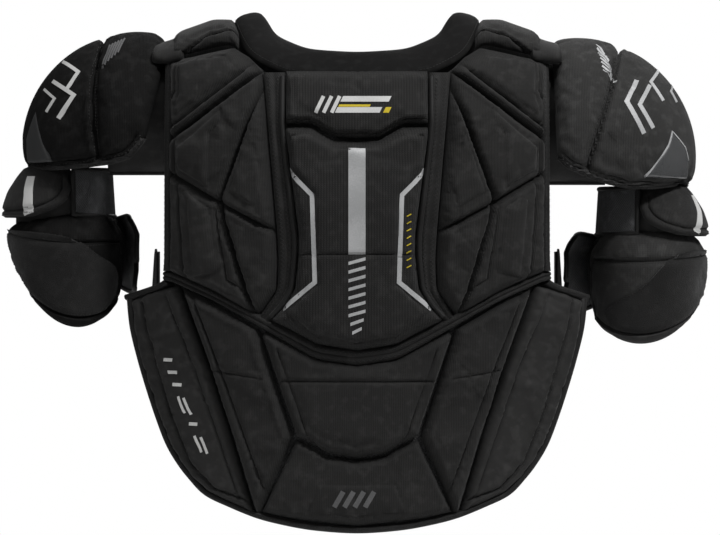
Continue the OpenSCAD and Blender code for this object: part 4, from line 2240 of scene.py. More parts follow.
@dataclass
class Apron:
    """The pads below the waist seam."""

    body: str = "apron"
    crown: float = 11.0
    wing_crown: float = 8.5

    def build(self) -> None:
        """Builds the apron."""
        self.lining()
        pads = self.middle()
        for side in Side:
            pads[side.word] = self.flank(side)
            self.wing(side)
        self.rim()
        self.prints(pads)

    def lining(self) -> None:
        """Builds the mesh lining."""
        outline = both_sides(
            [(0, -283), (36, -278), (84, -252), (128, -228), (172, -209), (213, -224),
             (206, -266), (186, -330), (165, -374),
             (140, -400), (92, -421), (50, -429), (0, -433)]
        )
        piece = Panel("apron_lining", BACK, outline, -5, -1.4, 2.5, 0.7, step=5).build()
        dress(piece, SPACER, self.body, ["apron_liner"])

    def middle(self) -> dict[str, bpy.types.Object]:
        """Builds the lumbar pad and the tail pad.

        Returns:
            Both pads by name.
        """
        lumbar = both_sides(
            [
                (0, -283.5), (36, -278.5), (83, -253.5), (85.5, -257), (54.8, -347), (37, -355.5),
                (26, -362.5), (0, -366.5),
            ]
        )
        seams = (
            Seam(((-66, -298), (66, -298)), 3.2, 0.78),
            Seam(((-30, -364), (-44, -345), (-70, -270)), 3.0, 0.85),
            Seam(((30, -364), (44, -345), (70, -270)), 3.0, 0.85),
        )
        pad = Panel("lumbar_cover", BACK, lumbar, 0.3, self.crown, 8, 0.3, seams, swell=1.4).build()
        dress(pad, FINE_KNIT, self.body, ["lumbar_pad"])
        tail = both_sides(
            [(0, -370), (26, -366), (37, -359), (54.8, -350.5), (86, -415.5), (60, -421), (0, -428)]
        )
        plate = both_sides([(0, -392), (33, -391), (43, -415), (0, -419)])
        end = Panel(
            "tail_cover",
            BACK,
            tail,
            0.3,
            self.crown - 1.5,
            7,
            0.3,
            (),
            (Plate(plate, 1.2, 2.5),),
            swell=0.8,
        ).build()
        dress(end, FINE_KNIT, self.body, ["tail_pad"])
        return {"lumbar": pad, "tail": end}

    def flank(self, side: Side) -> bpy.types.Object:
        """Builds the pad between the middle and the wing.

        Args:
            side: The wearer's side.

        Returns:
            The pad.
        """
        outline = [
            (90, -251.5), (110, -240), (128, -229.5), (158.5, -214.5), (131.5, -288), (112, -348),
            (91.5, -416), (88, -416), (73, -380), (58.4, -348), (74, -300),
        ]
        seams = (
            Seam(((148, -219), (121, -288), (82, -398)), 3.4, 0.72),
            Seam(((84, -296), (128, -288)), 3.0, 0.85),
        )
        piece = Panel(
            f"{side.word}_flank_cover", BACK, mirrored(outline, side), 0.3, self.crown, 7.5, 0.3,
            [Seam(mirrored(s.path, side), s.width, s.floor) for s in seams], swell=1.2,
        ).build()
        return dress(piece, FINE_KNIT, self.body, [f"{side.word}_apron_flank"])

    def wing(self, side: Side) -> None:
        """Builds the smooth outer panel and its upper binding.

        Args:
            side: The wearer's side.
        """
        outline = [
            (163, -212.5), (
                174, -214.5
            ), (190, -219.5), (205, -225.5), (202, -252), (196, -277), (188, -304), (179, -331),
            (169, -356), (160, -371), (149, -385), (135, -398), (
                115, -407.5
            ), (94, -417), (115, -348), (134, -288),
        ]
        seams = (
            Seam(
                (
                    (193, -228), (190, -248), (183, -272), (168, -325), (149, -372), (128, -394),
                    (100, -405),
                ),
                4.0,
                0.6,
            ),
            Seam(((172, -221), (145, -288), (126, -344), (106, -402)), 3.4, 0.75),
        )
        piece = Panel(
            f"{side.word}_wing_cover", BACK, mirrored(outline, side), 0.3, self.wing_crown, 6.5, 0.35,
            [Seam(mirrored(s.path, side), s.width, s.floor) for s in seams], swell=1.6,
        ).build()
        dress(piece, STRETCH, self.body, [f"{side.word}_apron_wing"])
        rows = [mirrored(offset(seams[0].path, shift), side) for shift in (-1.6, 1.6)]
        Stitch(3.0, 2.0, 0.5).sew(
            f"{side.word}_wing_stitches", BACK, rows, Skin(piece), self.body
        )
        top = eased([(173, -208.5), (177, -211.5), (184, -214.5), (196, -218.5), (211, -223)], 2.5)
        self.hem(f"{side.word}_wing_binding", mirrored(top, side), 3.6, ())

    def hem(self, name: str, path: Path, half: float, nodes: Sequence[str]) -> None:
        """Folds a binding round an edge of the apron and sews it.

        Args:
            name: Name of the piece.
            path: Its middle line on the back.
            half: Half its width.
            nodes: CAD nodes that it stands for.
        """
        flat = dense(path, 2.5)
        runs = unit(np.gradient(flat, axis=0))
        along = np.linspace(0, 1, len(flat))

        def at(u: Array, v: Array, rise: float) -> Array:
            """Points of one face of the binding.

            Args:
                u: Share along the strip, 0 to 1.
                v: Share across it, 0 to 1.
                rise: How far the face stands off the edge.

            Returns:
                Points in millimetres, one row each.
            """
            a, b = np.interp(u, along, flat[:, 0]), np.interp(u, along, flat[:, 1])
            side_a, side_b = np.interp(u, along, -runs[:, 1]), np.interp(u, along, runs[:, 0])
            reach = (2 * v - 1) * half
            round_ = np.sqrt(np.clip(1 - np.abs(2 * v - 1) ** 3, 0.02, 1))
            return BACK.point(a + side_a * reach, b + side_b * reach, 0.8 + rise * round_)

        length = float(np.linalg.norm(np.diff(flat, axis=0), axis=1).sum())
        piece = mapped_slab(name, (len(flat) - 1, 8), at, (5.4, -5.8), (length, 4 * half))
        dress(piece, BINDING, self.body, nodes)
        Stitch(2.6, 2.2, 0.55, 35.0).sew(name + "_stitches", BACK, [path], Skin(piece), self.body)

    def rim(self) -> None:
        """Builds the binding round the apron's rim."""
        right = [
            (207.5, -223), (204.5, -250), (198, -277), (190, -304), (181, -331), (172, -354),
            (162, -371), (151, -385), (137, -399),
                 (116, -409), (90, -419), (60, -426), (34, -429.8), (0, -431.8)]
        path = eased(right + [(-a, b) for a, b in right[-2::-1]], 3)
        self.hem("apron_binding", path, 3.2, ["apron_tape"])

    def prints(self, pads: dict[str, bpy.types.Object]) -> None:
        """Prints plain marks on the left wing and the tail pad.

        Args:
            pads: The pads by name.
        """
        tail = Skin(pads["tail"])
        marks = [bar((x, -411), (x + 8, -397), 4.4) for x in (-20, -11, -2, 7)]
        dress(printed("tail_mark", marks, BACK, tail), GREY_PRINT, self.body)
        wing = Skin(bpy.data.objects["left_wing_cover"])
        start, end = np.array((-172.0, -272.0)), np.array((-137.0, -362.0))
        run = unit((end - start).reshape(1, 2))[0]
        side = np.array((-run[1], run[0]))
        bars = []
        gone = 6
        for step, double in ((12, False), (12, False), (12, False), (26, True), (12, False), (26, True)):
            at = start + run * gone
            gone += step
            if double:
                bars.append(bar(tuple(at - side * 2.2), tuple(at - side * 2.2 + run * 16), 2.2))
                bars.append(bar(tuple(at + side * 2.2 + run * 3), tuple(at + side * 2.2 + run * 19), 2.2))
            else:
                bars.append(bar(tuple(at - side * 3.4), tuple(at + side * 3.4 + run * 3), 3.0))
        dress(printed("wing_bars", bars, BACK, wing), WHITE, self.body)


@dataclass
class Chest:
    """Front pads, which face away from the camera."""

    body: str = "chest"
    crown: float = 14.0

    def build(self) -> None:
        """Builds the chest and the belly pad."""
        outline = both_sides(
            [
                (0, -100), (30, -98), (62, -76), (100, -30), (140, -26), (138, -105), (156, -160),
                (168, -233), (0, -233),
            ]
        )
        dress(
            Panel("chest_lining", FRONT, outline, -5, -1.4, 2.5, 0.7, step=5).build(),
            SPACER,
            self.body,
            ["chest_liner"],
        )
        for side in Side:
            self.pad(side)
        middle = both_sides([(0, -102), (24, -102), (29, -110), (29, -224), (24, -232), (0, -232)])
        seams = [Seam(((-29, z), (29, z)), 6, 0.35) for z in (-145, -188)]
        piece = Panel("sternum_cover", FRONT, middle, 0.3, self.crown + 2.5, 9, 0.3, seams, swell=1.5).build()
        # The sternum pad takes the painted-light copy of the fine knit.
        dress(piece, LIT_KNIT, self.body, ["sternum_pad"])
        self.belly()

    def pad(self, side: Side) -> None:
        """Builds one chest pad.

        Args:
            side: The wearer's side.
        """
        outline = [
            (31, -236), (100, -236), (174, -236), (170, -210), (161, -162), (149, -128), (
                143.5, -105
            ), (145, -60), (148, -18),
            (126, -19), (106, -22), (96, -34), (82, -52), (66, -70), (48, -82), (31, -92),
        ]
        seams = (
            Seam(((31, -176), (92, -168), (162, -178)), 7, 0.32),
            Seam(((31, -122), (84, -112), (143, -118)), 7, 0.32),
            Seam(((92, -168), (84, -112), (92, -38)), 5, 0.5),
        )
        piece = Panel(
            f"{side.word}_chest_cover", FRONT, mirrored(outline, side), 0.3, self.crown, 10, 0.3,
            [Seam(mirrored(s.path, side), s.width, s.floor) for s in seams], step=2.6, swell=2.0,
        ).build()
        dress(piece, FINE_KNIT, self.body, [f"{side.word}_chest_pad"])
        rows = [mirrored(offset(seam.path, shift), side) for seam in seams[:2] for shift in (-2.2, 2.2)]
        Stitch(3.2, 2.1, 0.6).sew(
            f"{side.word}_chest_stitches", FRONT, rows, Skin(piece), self.body
        )

    def belly(self) -> None:
        """Builds the belly pad and its lining."""
        outline = both_sides(
            [(0, -244), (150, -244), (159, -252), (150, -290), (126, -372), (116, -380), (0, -380)]
        )
        seams = [
            Seam(((-152, -290), (152, -290)), 7, 0.32),
            Seam(((-140, -335), (140, -335)), 7, 0.32),
            Seam(((-50, -244), (-40, -380)), 5, 0.5),
            Seam(((50, -244), (40, -380)), 5, 0.5),
        ]
        piece = Panel(
            "belly_cover", FRONT, outline, 0.3, self.crown, 10, 0.3, seams, step=2.8, swell=2.0
        ).build()
        dress(piece, FINE_KNIT, "belly", ["belly_pad"])
        fold = Panel(
            "belly_fold",
            FRONT,
            both_sides([(0, -226), (152, -226), (146, -258), (0, -258)]),
            -7.6,
            -5.3,
            1.5,
            0.7,
            step=4,
        ).build()
        dress(fold, STRETCH, None)
        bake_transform(fold)
        lining = both_sides([(0, -247), (150, -247), (146, -290), (122, -374), (0, -374)])
        dress(
            Panel("belly_lining", FRONT, lining, -5, -1.4, 2.5, 0.7, step=5).build(),
            SPACER,
            "belly",
            ["belly_liner"],
        )


@dataclass
class SideStrap:
    """One flat strap inside the armhole and its hook tab."""

    side: Side
    face_x: float = 186.25
    width: float = 36.0
    thick: float = 2.3

    def build(self) -> None:
        """Builds the strap from the node's box and dresses the tab."""
        word = self.side.word
        low, high = (np.array(c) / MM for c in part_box(f"{word}_side_strap"))
        climb = high[2] - low[2] - self.width
        root_z = low[2] + self.width / 2
        span = high[1] - low[1]
        y = np.linspace(low[1], high[1], 40)
        share = np.clip((y - low[1]) / (0.7 * span), 0, 1)
        centre = np.column_stack((np.full(40, self.side.value * self.face_x), y, root_z + climb * share))
        up, out = np.tile((0.0, 0.0, 1.0), (40, 1)), np.tile((float(self.side.value), 0.0, 0.0), (40, 1))
        piece = strap(f"{word}_strap_band", centre, up, out, self.width - 1, self.thick, 8)
        dress(piece, WEBBING, f"{word}_strap", [f"{word}_side_strap"])
        root = np.column_stack(
            (
                np.linspace(self.side.value * 184.6, self.side.value * 183.6, 8),
                np.linspace(-82, low[1] + 14, 8),
                np.full(8, root_z),
            )
        )
        patch = strap(f"{word}_strap_root", root, up[:8], out[:8], self.width + 4, 1.4, 6)
        dress(patch, BINDING, "apron")
        bare(f"{word}_strap_tab", DARK_PLASTIC)


# ------------------------------------------------------------------ the arms


@dataclass
class PoleChart(Chart):
    """A shoulder cap drawn flat round its back pole. a and b point outwards and up, as arcs from the pole."""

    side: Side
    height: float
    centre: float = 201.0
    radius: float = 102.0
    depth: float = 88.0

    def point(self, a: Array, b: Array, d: Array) -> Array:
        """Points of the cap.

        Args:
            a: Coordinate along the surface.
            b: Coordinate up the surface.
            d: Height above it.

        Returns:
            Points in millimetres, one row each.
        """
        arc = np.hypot(a, b) / self.radius
        lift = np.arctan2(b, a)
        out = (self.radius + d) * np.sin(arc)
        return np.column_stack(
            (
                self.side.value * (self.centre + out * np.cos(lift)),
                -(self.depth + d) * np.cos(arc),
                self.height + out * np.sin(lift),
            )
        )

    def seen(self, path: Path) -> list[tuple[float, float]]:
        """Finds where a line seen from behind lies on the cap.

        Args:
            path: Points of distance from the middle and height.

        Returns:
            The line on the chart.
        """
        found = []
        for across, up in path:
            x, z = across - self.centre, up - self.height
            share = min(1.0, math.hypot(x, z) / self.radius)
            arc = math.asin(share) * self.radius
            lift = math.atan2(z, x)
            found.append((arc * math.cos(lift), arc * math.sin(lift)))
        return found

    def turned(self, arc: float, lift: float) -> tuple[float, float]:
        """Finds a point by its angles.

        Args:
            arc: Angle from the back pole, in degrees.
            lift: Angle up from the outer side, in degrees.

        Returns:
            The point on the cap.
        """
        far = math.radians(arc) * self.radius
        return far * math.cos(math.radians(lift)), far * math.sin(math.radians(lift))


@dataclass
class CapCut:
    """What differs between the two shoulder caps: lines are seen from behind."""

    side: Side
    height: float
    rim: float
    radius: float
    hem: Path
    inner: Path
    seam: Path
    wedge: Path
    hatch: Path
    chevrons: Sequence[Path]
    # The finish carries painted light: the painted-light copy of the knit on the right, the painted-shade
    # copy on the left.
    finish: Finish
    plastic: Finish
    ink: Finish


@dataclass
class Cap:
    """A shoulder cap with its sleeve gusset."""

    cut: CapCut
    thick: float = 12.0

    def build(self) -> None:
        """Builds the cap."""
        cut = self.cut
        word, body = cut.side.word, f"{cut.side.word}_cap"
        chart = PoleChart(cut.side, cut.height, radius=cut.radius)
        hem = chart.seen(cut.hem)
        around = [chart.turned(arc, -cut.rim) for arc in (100, 120, 140, 158, 167)]
        front = [chart.turned(167, lift) for lift in (10, 35, 60, 85, 105)]
        back_up = [chart.turned(arc, 105) for arc in (158, 140, 120, 104)]
        inner = chart.seen(cut.inner)
        lower = hem + around
        seam_back = chart.seen(cut.seam)
        seam_top = [chart.turned(arc, 72 if cut.side is Side.LEFT else 68) for arc in (84, 100, 120)]
        seam_front = [chart.turned(arc, lift) for arc, lift in ((140, 62), (158, 40), (166, 8))]
        seam = seam_back[::-1] + seam_top + seam_front
        ribs = [
            Seam(seam, 5.5, 0.45),
            Seam(offset(lower, 9.0), 3.0, 0.8),
        ]
        outline = lower + front + back_up + inner
        piece = Panel(
            f"{word}_cap_cover", chart, outline, -self.thick, 0.0, 11, 0.35, ribs, step=3.0, swell=2.2
        ).build()
        # The cover is painted lighter on the right cap and painted in shade on the left cap, through its
        # finish.
        dress(piece, cut.finish, body, [f"{word}_cap_pad"])
        tape = Panel(
            f"{word}_cap_binding",
            chart,
            ribbon(lower, 7.5, 0.8),
            -self.thick - 1.0,
            -1.2,
            3.2,
            0.45,
            step=3.2,
        ).build()
        dress(tape, BINDING, body, [f"{word}_cap_tape"])
        skin = Skin(piece, tape)
        sewing = Sewing(f"{word}_cap_stitches", 3.4, 2.4, 0.75)
        sewing.row(chart, offset(lower, 2.0), skin, 30.0)
        sewing.row(chart, offset(lower, 6.0), skin, 30.0)
        sewing.row(chart, offset(seam, 2.2), skin)
        sewing.row(chart, offset(seam, -2.2), skin)
        dress(sewing.build(), THREAD, body)
        wedge = Panel(
            f"{word}_corner_plate", chart, chart.seen(cut.wedge), -0.6, 2.6, 2.6, 0.25, step=2.0
        ).build()
        dress(wedge, cut.plastic, body, [f"{word}_cap_wedge"])
        edge = chart.seen(cut.wedge)
        if cut.side is Side.RIGHT:
            trims = [ribbon(edge[:3], 0.2, 1.0), ribbon(edge[-3:] + edge[:1], 0.2, 1.4)]
            dress(
                printed(f"{word}_plate_trim", trims, chart, Skin(wedge, piece), 0.5),
                SILVER,
                body,
            )
        marks = [chart.seen(stroke) for stroke in cut.chevrons]
        dress(printed(f"{word}_cap_chevrons", marks, chart, skin, 0.4, 2.2), cut.ink, body)
        dress(
            printed(
                f"{word}_cap_hatch", [chart.seen(s) for s in cut.hatch], chart, skin, 0.35, 3.0
            ),
            cut.ink if cut.side is Side.RIGHT else GREY_PRINT,
            body,
        )
        bare(f"{word}_cap_insert", DARK_PLASTIC)
        self.sleeve(word, body)

    def sleeve(self, word: str, body: str) -> None:
        """Builds the stretch gusset under the arm.

        Args:
            word: Name of the side.
            body: Body of the cap; not used.
        """
        sign, middle = self.cut.side.value, self.cut.height + 37

        def at(u: Array, v: Array, r: float) -> Array:
            """Points of one face of the gusset.

            Args:
                u: Share along the strip, 0 to 1.
                v: Share across it, 0 to 1.
                r: Radius of the face.

            Returns:
                Points in millimetres, one row each.
            """
            turn = math.pi - 1.25 + (math.pi + 2.5) * u
            x = 171.5 + 56 * v
            fold = 0.8 * np.sin(v * 9) * np.sin(turn * 2) ** 2
            out = (r + fold) * (1 - 0.16 * np.maximum(np.sin(turn), 0) ** 2)
            return np.column_stack((sign * x, out * np.cos(turn), middle + out * np.sin(turn)))

        piece = mapped_slab(f"{word}_gusset", (96, 22), at, (61.4, 60.0), (330, 56))
        dress(piece, STRETCH, None, [f"{word}_sleeve"])
        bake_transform(piece)
        across = np.linspace(174, 227, 24)
        hem = np.column_stack((sign * across, np.full(24, -13.0), np.full(24, middle - 59.5)))
        binding = dress(tube(f"{word}_gusset_binding", hem, 2.8), BINDING, None)
        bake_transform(binding)


@dataclass
class LobeChart(WrapChart):
    """The mesh lobe outside the wrap's inner end, which stands away towards the torso."""

    def point(self, a: Array, b: Array, d: Array) -> Array:
        """Points of the lobe.

        Args:
            a: Coordinate along the surface.
            b: Coordinate up the surface.
            d: Height above it.

        Returns:
            Points in millimetres, one row each.
        """
        flare = self.flare * np.clip((a - 122) / 62, 0, 1) ** 1.5
        return super().point(a, b, d + flare)


@dataclass
class Arm:
    """The guard, the cuff and the wrap of one upper arm."""

    side: Side
    height: float
    centre: float
    wrapping: WrapChart
    # The finish carries painted light: the painted-light copy of the knit on the right, the painted-shade
    # copy on the left.
    finish: Finish
    stripe: Path
    pile: Path

    def build(self) -> None:
        """Builds the arm."""
        self.sleeve()
        self.guard()
        self.cuff()
        self.wrap()
        self.flap()

    def sleeve(self) -> None:
        """Builds the dark lining between the guard and the wrap."""
        chart = GuardChart(self.side, self.height, SLEEVE_FORM, self.centre)

        def at(u: Array, v: Array, d: float) -> Array:
            """Points of one face of the lining.

            Args:
                u: Share along the strip, 0 to 1.
                v: Share across it, 0 to 1.
                d: Height of the face.

            Returns:
                Points in millimetres, one row each.
            """
            return chart.point(-179 + 358 * u, -56 + 61 * v, d)

        piece = mapped_slab(f"{self.side.word}_arm_lining", (96, 16), at, (0.0, -1.6), (290, 61))
        dress(piece, STRETCH, f"{self.side.word}_guard")

    def guard(self) -> None:
        """Builds the flared guard with its padded rim and its stripe."""
        word, body = self.side.word, f"{self.side.word}_guard"
        chart = GuardChart(self.side, self.height, GUARD_FORM, self.centre)
        rim = [
            (-101, -3), (-103, -12), (-98, -22), (-86, -30), (-68, -35.5), (-48, -37.8),
            (48, -37.8), (68, -35.5), (86, -30), (98, -22), (103, -12), (101, -3),
        ]
        outline = eased(rim, 6) + [(98, 9), (-98, 9)]
        seam = eased(
            [
                (-93, -2), (-93, -12), (-88, -19), (-76, -26), (-60, -30), (-44, -31.5),
                (44, -31.5), (60, -30), (76, -26), (88, -19), (93, -12), (93, -2),
            ],
            6,
        )
        piece = Panel(
            f"{word}_guard_cover",
            chart,
            outline,
            -6,
            0.3,
            3.4,
            0.35,
            (Seam(seam, 2.6, 0.6),),
            step=2.2,
        ).build()
        dress(piece, FINE_KNIT, body, [f"{word}_arm_guard"])
        skin = Skin(piece)
        sewing = Sewing(f"{word}_guard_stitches", 2.6, 2.0, 0.6)
        sewing.row(chart, seam, skin)
        sewing.row(chart, [(a, b - 4.2 if abs(a) < 70 else b - 2.0) for a, b in seam[2:-2]], skin, 30.0)
        dress(sewing.build(), THREAD, body)
        stripe = printed(f"{word}_guard_stripe", [self.stripe], chart, skin, 0.5, 2.2)
        dress(stripe, WHITE, body)

    def cuff(self) -> None:
        """Builds the mesh lining on the inside of the arm with its bindings."""
        word, body = self.side.word, f"{self.side.word}_guard"
        chart = GuardChart(self.side, self.height, CUFF_FORM, self.centre)
        outline = [(104.5, 6), (255.5, 6), (255.5, -36), (225, -37.5), (135, -37.5), (104.5, -36)]
        piece = Panel(f"{word}_cuff_lining", chart, outline, 0.0, 2.5, 2.0, 0.7, step=3.0).build()
        dress(piece, CUFF_MESH, body, [f"{word}_mesh_cuff"])
        ring = [
            (105.5, 5), (254.5, 5), (254.5, -35.5), (225, -36.8), (135, -36.8), (105.5, -35.5),
            (105.5, 5),
        ]
        dress(tube(f"{word}_cuff_binding", chart_line(chart, ring, 1.4), 2.3), BINDING, body)

    def wrap(self) -> None:
        """Builds the front half of the wrap, the elastic band and the mesh lobe."""
        word, body = self.side.word, f"{self.side.word}_guard"
        chart = self.wrapping
        outline = eased(
            [
                (8, 8), (30, 10), (140, 10), (163, 4), (168, -14), (168, -50), (160, -60),
                (140, -62), (30, -62), (14, -61), (8, -54),
            ],
            7,
        )
        seams = (
            Seam(((12, -12), (156, -12)), 3.2, 0.72),
            Seam(((12, -53), (156, -53)), 3.2, 0.72),
            Seam(((84, -5), (84, -61)), 4.0, 0.6),
        )
        piece = Panel(
            f"{word}_wrap_cover", chart, outline, -9, 0.0, 8, 0.35, seams, step=2.8, swell=1.4
        ).build()
        dress(piece, FINE_KNIT, body, [f"{word}_arm_wrap"])

        def at(u: Array, v: Array, d: float) -> Array:
            """Points of one face of the elastic band."""
            wave = 0.25 * np.sin(v * 60)
            return chart.point(120 + 120 * u, -60 + 34 * v, d + wave)

        band = mapped_slab(f"{word}_elastic_band", (60, 30), at, (-10.5, -12.2), (100, 34))
        dress(band, WEBBING, body, [f"{word}_arm_elastic"])
        lobe = LobeChart(chart.side, chart.height, chart.span, chart.lean, chart.dip, chart.flare)
        shape = eased(
            [
                (120, 0), (150, 6), (176, 6), (188, -10), (186, -28), (180, -34), (186, -42),
                (188, -52), (176, -60), (150, -60), (122, -54),
            ],
            5,
        )
        mesh = Panel(f"{word}_lobe_lining", lobe, shape, 1.0, 3.5, 2.0, 0.7, step=2.6).build()
        dress(mesh, CUFF_MESH, body, [f"{word}_liner_flap"])
        dress(
            tube(f"{word}_lobe_binding", chart_line(lobe, shape + shape[:1], 2.2), 2.4),
            BINDING,
            body,
        )

    def hinge(self) -> None:
        """Builds the strip of cloth on which the flap opens."""
        word, chart = self.side.word, self.wrapping

        def at(u: Array, v: Array, d: float) -> Array:
            """Points of one face of the strip."""
            return chart.point(-24 + 48 * u, -55 + 62 * v, d)

        piece = mapped_slab(f"{word}_flap_hinge", (24, 16), at, (-3.4, -5.6), (44, 62))
        dress(piece, STRETCH, None)
        middle = at(np.array([0.5]), np.array([0.5]), -4.5)[0] * MM
        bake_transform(piece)

    def flap(self) -> None:
        """Builds the rear wrap flap with its quilted rim and its loop patch."""
        word, body = self.side.word, f"{self.side.word}_flap"
        chart = self.wrapping
        outline = eased(
            [
                (-9, 8), (-30, 10), (-140, 10), (-160, 4), (-166, -15), (-166, -48), (-158, -59),
                (-140, -62), (-30, -62), (-14, -61), (-9, -54),
            ],
            7,
        )
        rim = eased(
            [
                (-14, -12), (-140, -11), (-154, -15), (-158, -24), (-158, -46), (-150, -53),
                (-136, -55), (-14, -55),
            ],
            7,
        )
        piece = Panel(
            f"{word}_flap_cover",
            chart,
            outline,
            -9,
            0.0,
            8,
            0.35,
            (Seam(rim, 3.4, 0.66),),
            step=2.4,
            swell=1.4,
        ).build()
        # The flap is painted lighter on the right arm and painted in shade on the left arm, through its
        # finish.
        dress(piece, self.finish, body, [f"{word}_wrap_flap"])
        skin = Skin(piece)
        sewing = Sewing(f"{word}_flap_stitches", 2.8, 2.1, 0.6)
        sewing.row(chart, offset(rim, 1.6), skin)
        pile = eased(self.pile, 6)
        self.hinge()
        patch = printed(f"{word}_loop_pile", [pile], chart, skin, 2.0, 1.8)
        dress(patch, LOOP_PILE, body, [f"{word}_loop_patch"])
        sewing.row(chart, pile + pile[:1], Skin(piece, patch), 45.0)
        dress(sewing.build(), THREAD, body)


LEFT_CUT = CapCut(
    side=Side.LEFT,
    height=-86.0,
    rim=12.0,
    radius=104.5,
    hem=((190, -79), (198, -90), (206, -98), (223, -103), (255, -107), (287, -108.5), (299.5, -106)),
    inner=((172, 12), (177, -20), (183, -46), (187, -66)),
    seam=((234.5, -99), (234.8, -94), (239.5, -72), (241, -45), (240, -20), (236, -2)),
    wedge=((290.6, -52), (300.3, -79), (299, -100.5), (276, -99.9), (285, -77)),
    hatch=tuple(
        tuple(bar((211.5 + 2.6 * i, 11.5 - 1.2 * i), (217 + 2.9 * i, -2 - 2.6 * i), 1.5))
        for i in range(6)
    ),
    chevrons=(
        tuple(ribbon(((276, -27), (256, -40), (270, -61)), 1.8, 1.8)),
        tuple(ribbon(((268, -9), (252.5, -19), (262, -34)), 1.5, 1.5)),
        tuple(ribbon(((284, -34), (273.5, -43), (281, -55)), 1.2, 1.2)),
    ),
    # Painted shade: the left cap takes the darker copy of the knit.
    finish=SHADED_KNIT,
    plastic=DARK_PLASTIC,
    ink=WHITE,
)
RIGHT_CUT = CapCut(
    side=Side.RIGHT,
    height=-95.0,
    rim=16.0,
    radius=108.0,
    hem=(
        (180, -98), (190, -107), (206, -114), (221, -120), (245, -125.5), (270, -126.5),
        (290, -124), (300.5, -119),
    ),
    inner=((177, 8), (177, -20), (178, -52), (178.5, -80)),
    seam=((207, -113), (209, -98), (219, -68), (228, -40), (233, -18), (235, -4)),
    wedge=(
        (284.5, -72), (297, -86), (300.6, -98), (300, -115), (280, -115), (259.8, -113.6),
        (274, -95), (281, -84),
    ),
    hatch=tuple(
        tuple(bar((218 + 0.7 * i, 7 - 3.4 * i), (226 + 1.5 * i, -1 - 3.4 * i), 1.4))
        for i in range(8)
    ),
    chevrons=(
        tuple(ribbon(((254.5, -25), (243.5, -46), (258.6, -75)), 2.0, 2.0)),
        tuple(ribbon(((265, -31), (255, -49), (267, -70)), 1.8, 1.8)),
        tuple(ribbon(((275, -16), (266, -28), (277, -45)), 1.4, 1.4)),
        tuple(ribbon(((289, -28), (285, -36), (290, -46)), 1.0, 1.0)),
    ),
    # Painted light: the right cap takes the lighter copy of the knit.
    finish=LIT_KNIT,
    plastic=GLOSS_PLASTIC,
    ink=SILVER,
)


LEFT_ARM = Arm(
    Side.LEFT, -112.0, 270.0, WrapChart(Side.LEFT, -112.0, 42.5, 19.0, 48.0, 7.0), SHADED_KNIT,
    ((-44, -0.8), (-57, -0.8), (-62, -18), (-65, -33.5), (-54, -36.5), (-51, -18)),
    (
        (-14, -8), (-50, -6), (-86, -7), (-105, -11), (-120, -18), (-141, -28), (-147, -42),
        (-136, -53), (-100, -54.5), (-30, -54.5), (-14, -52),
    ),
)
RIGHT_ARM = Arm(
    Side.RIGHT, -129.0, 267.0, WrapChart(Side.RIGHT, -129.0, 53.0, 9.0, 37.0, 17.0), LIT_KNIT,
    ((-14, -0.8), (-25, -0.8), (-34, -18), (-45, -33.5), (-36, -36.5), (-24, -18)),
    (
        (-14, -8), (-40, -6), (-62, -8), (-78, -15), (-94, -26), (-123, -39), (-134, -47),
        (-128, -54), (-100, -55), (-30, -55), (-14, -52),
    ),
)


# ---------------------------------------------------------------- the studio


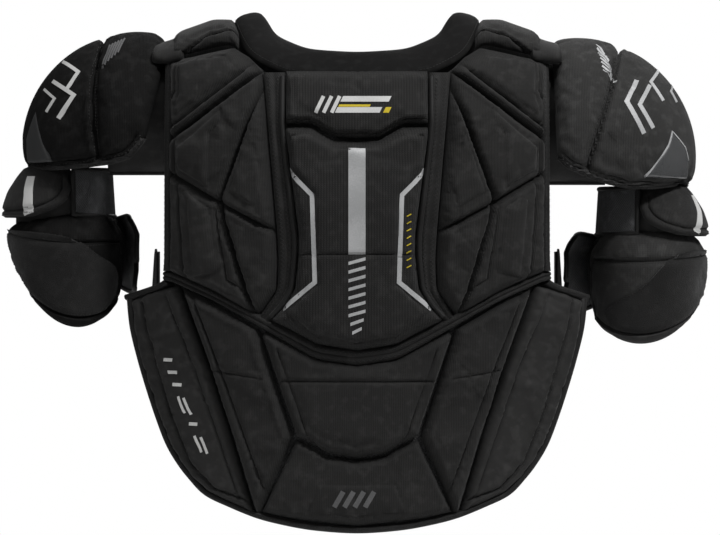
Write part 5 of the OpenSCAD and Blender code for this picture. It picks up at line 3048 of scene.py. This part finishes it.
@dataclass
class Studio:
    """A pale floor, soft lights and the camera."""

    eye: tuple[float, float, float] = (0.0027, -5.1, -0.19575)
    lens: float = 277.8
    floor_gap: float = 0.09

    def build(self) -> None:
        """Builds the studio."""
        self.floor()
        self.lights()
        self.air()
        data = bpy.data.cameras.new("camera")
        data.lens = self.lens
        data.sensor_width = 36.0
        data.clip_end = 60.0
        camera = bpy.data.objects.new("camera", data)
        camera.location = self.eye
        camera.rotation_euler = (math.pi / 2, 0, 0)
        bpy.context.scene.collection.objects.link(camera)
        bpy.context.scene.camera = camera
        bpy.context.scene.view_settings.view_transform = "Standard"

    def floor(self) -> None:
        """Lays the floor."""
        bm = bmesh.new()
        bmesh.ops.create_grid(bm, x_segments=4, y_segments=4, size=0.85)
        bmesh.ops.translate(bm, verts=bm.verts[:], vec=(0, 0, CAD_BOX[0].z - self.floor_gap))
        floor = to_object(bm, "floor")
        material = bpy.data.materials.new("pale_floor")
        material.use_nodes = True
        graph = Graph(material.node_tree)
        noise = graph.add("TexNoise")
        noise.inputs["Scale"].default_value = 3.0
        shader = material.node_tree.nodes["Principled BSDF"]
        graph.put(
            graph.mix(noise.outputs[0], (0.8, 0.8, 0.8, 1), (0.86, 0.86, 0.86, 1)),
            shader.inputs["Base Color"],
        )
        shader.inputs["Roughness"].default_value = 0.7
        floor.data.materials.append(material)

    def lights(self) -> None:
        """Hangs the soft lights."""
        aim = Vector((0, 0, -0.2))
        for name, spot, size, power in (
            ("key", (1.7, -1.3, 2.3), 0.7, 80.0),
            ("fill", (-2.4, -1.6, 1.4), 1.2, 11.0),
            ("top", (0.0, -0.5, 2.4), 1.4, 26.0),
            ("back", (0.4, 2.8, 1.4), 2.0, 20.0),
        ):
            data = bpy.data.lights.new(name, "AREA")
            data.shape = "DISK"
            data.size = size
            data.energy = power
            light = bpy.data.objects.new(name, data)
            light.location = spot
            light.rotation_euler = (aim - Vector(spot)).to_track_quat("-Z", "Y").to_euler()
            bpy.context.scene.collection.objects.link(light)

    def air(self) -> None:
        """Makes the surroundings white to the eye and dimmer as a light."""
        world = bpy.data.worlds.new("white")
        bpy.context.scene.world = world
        world.use_nodes = True
        graph = Graph(world.node_tree)
        path = graph.add("LightPath")
        backdrop = world.node_tree.nodes["Background"]
        dim = graph.add("Background")
        backdrop.inputs["Color"].default_value = (1, 1, 1, 1)
        backdrop.inputs["Strength"].default_value = 1.0
        dim.inputs["Color"].default_value = (1, 1, 1, 1)
        dim.inputs["Strength"].default_value = 0.1
        pick = graph.add("MixShader")
        graph.put(path.outputs["Is Camera Ray"], pick.inputs[0])
        graph.put(dim.outputs[0], pick.inputs[1])
        graph.put(backdrop.outputs[0], pick.inputs[2])
        graph.put(pick.outputs[0], world.node_tree.nodes["World Output"].inputs[0])


def main() -> None:
    """Builds the pads, piece by piece."""
    logging.basicConfig(level=logging.INFO, format="%(message)s")
    Studio().build()
    TorsoBack().build()
    Shoulders().build()
    Apron().build()
    Waist().build()
    Chest().build()
    for side in Side:
        SideStrap(side).build()
    Cap(LEFT_CUT).build()
    Cap(RIGHT_CUT).build()
    LEFT_ARM.build()
    RIGHT_ARM.build()


if __name__ == "__main__":
    main()
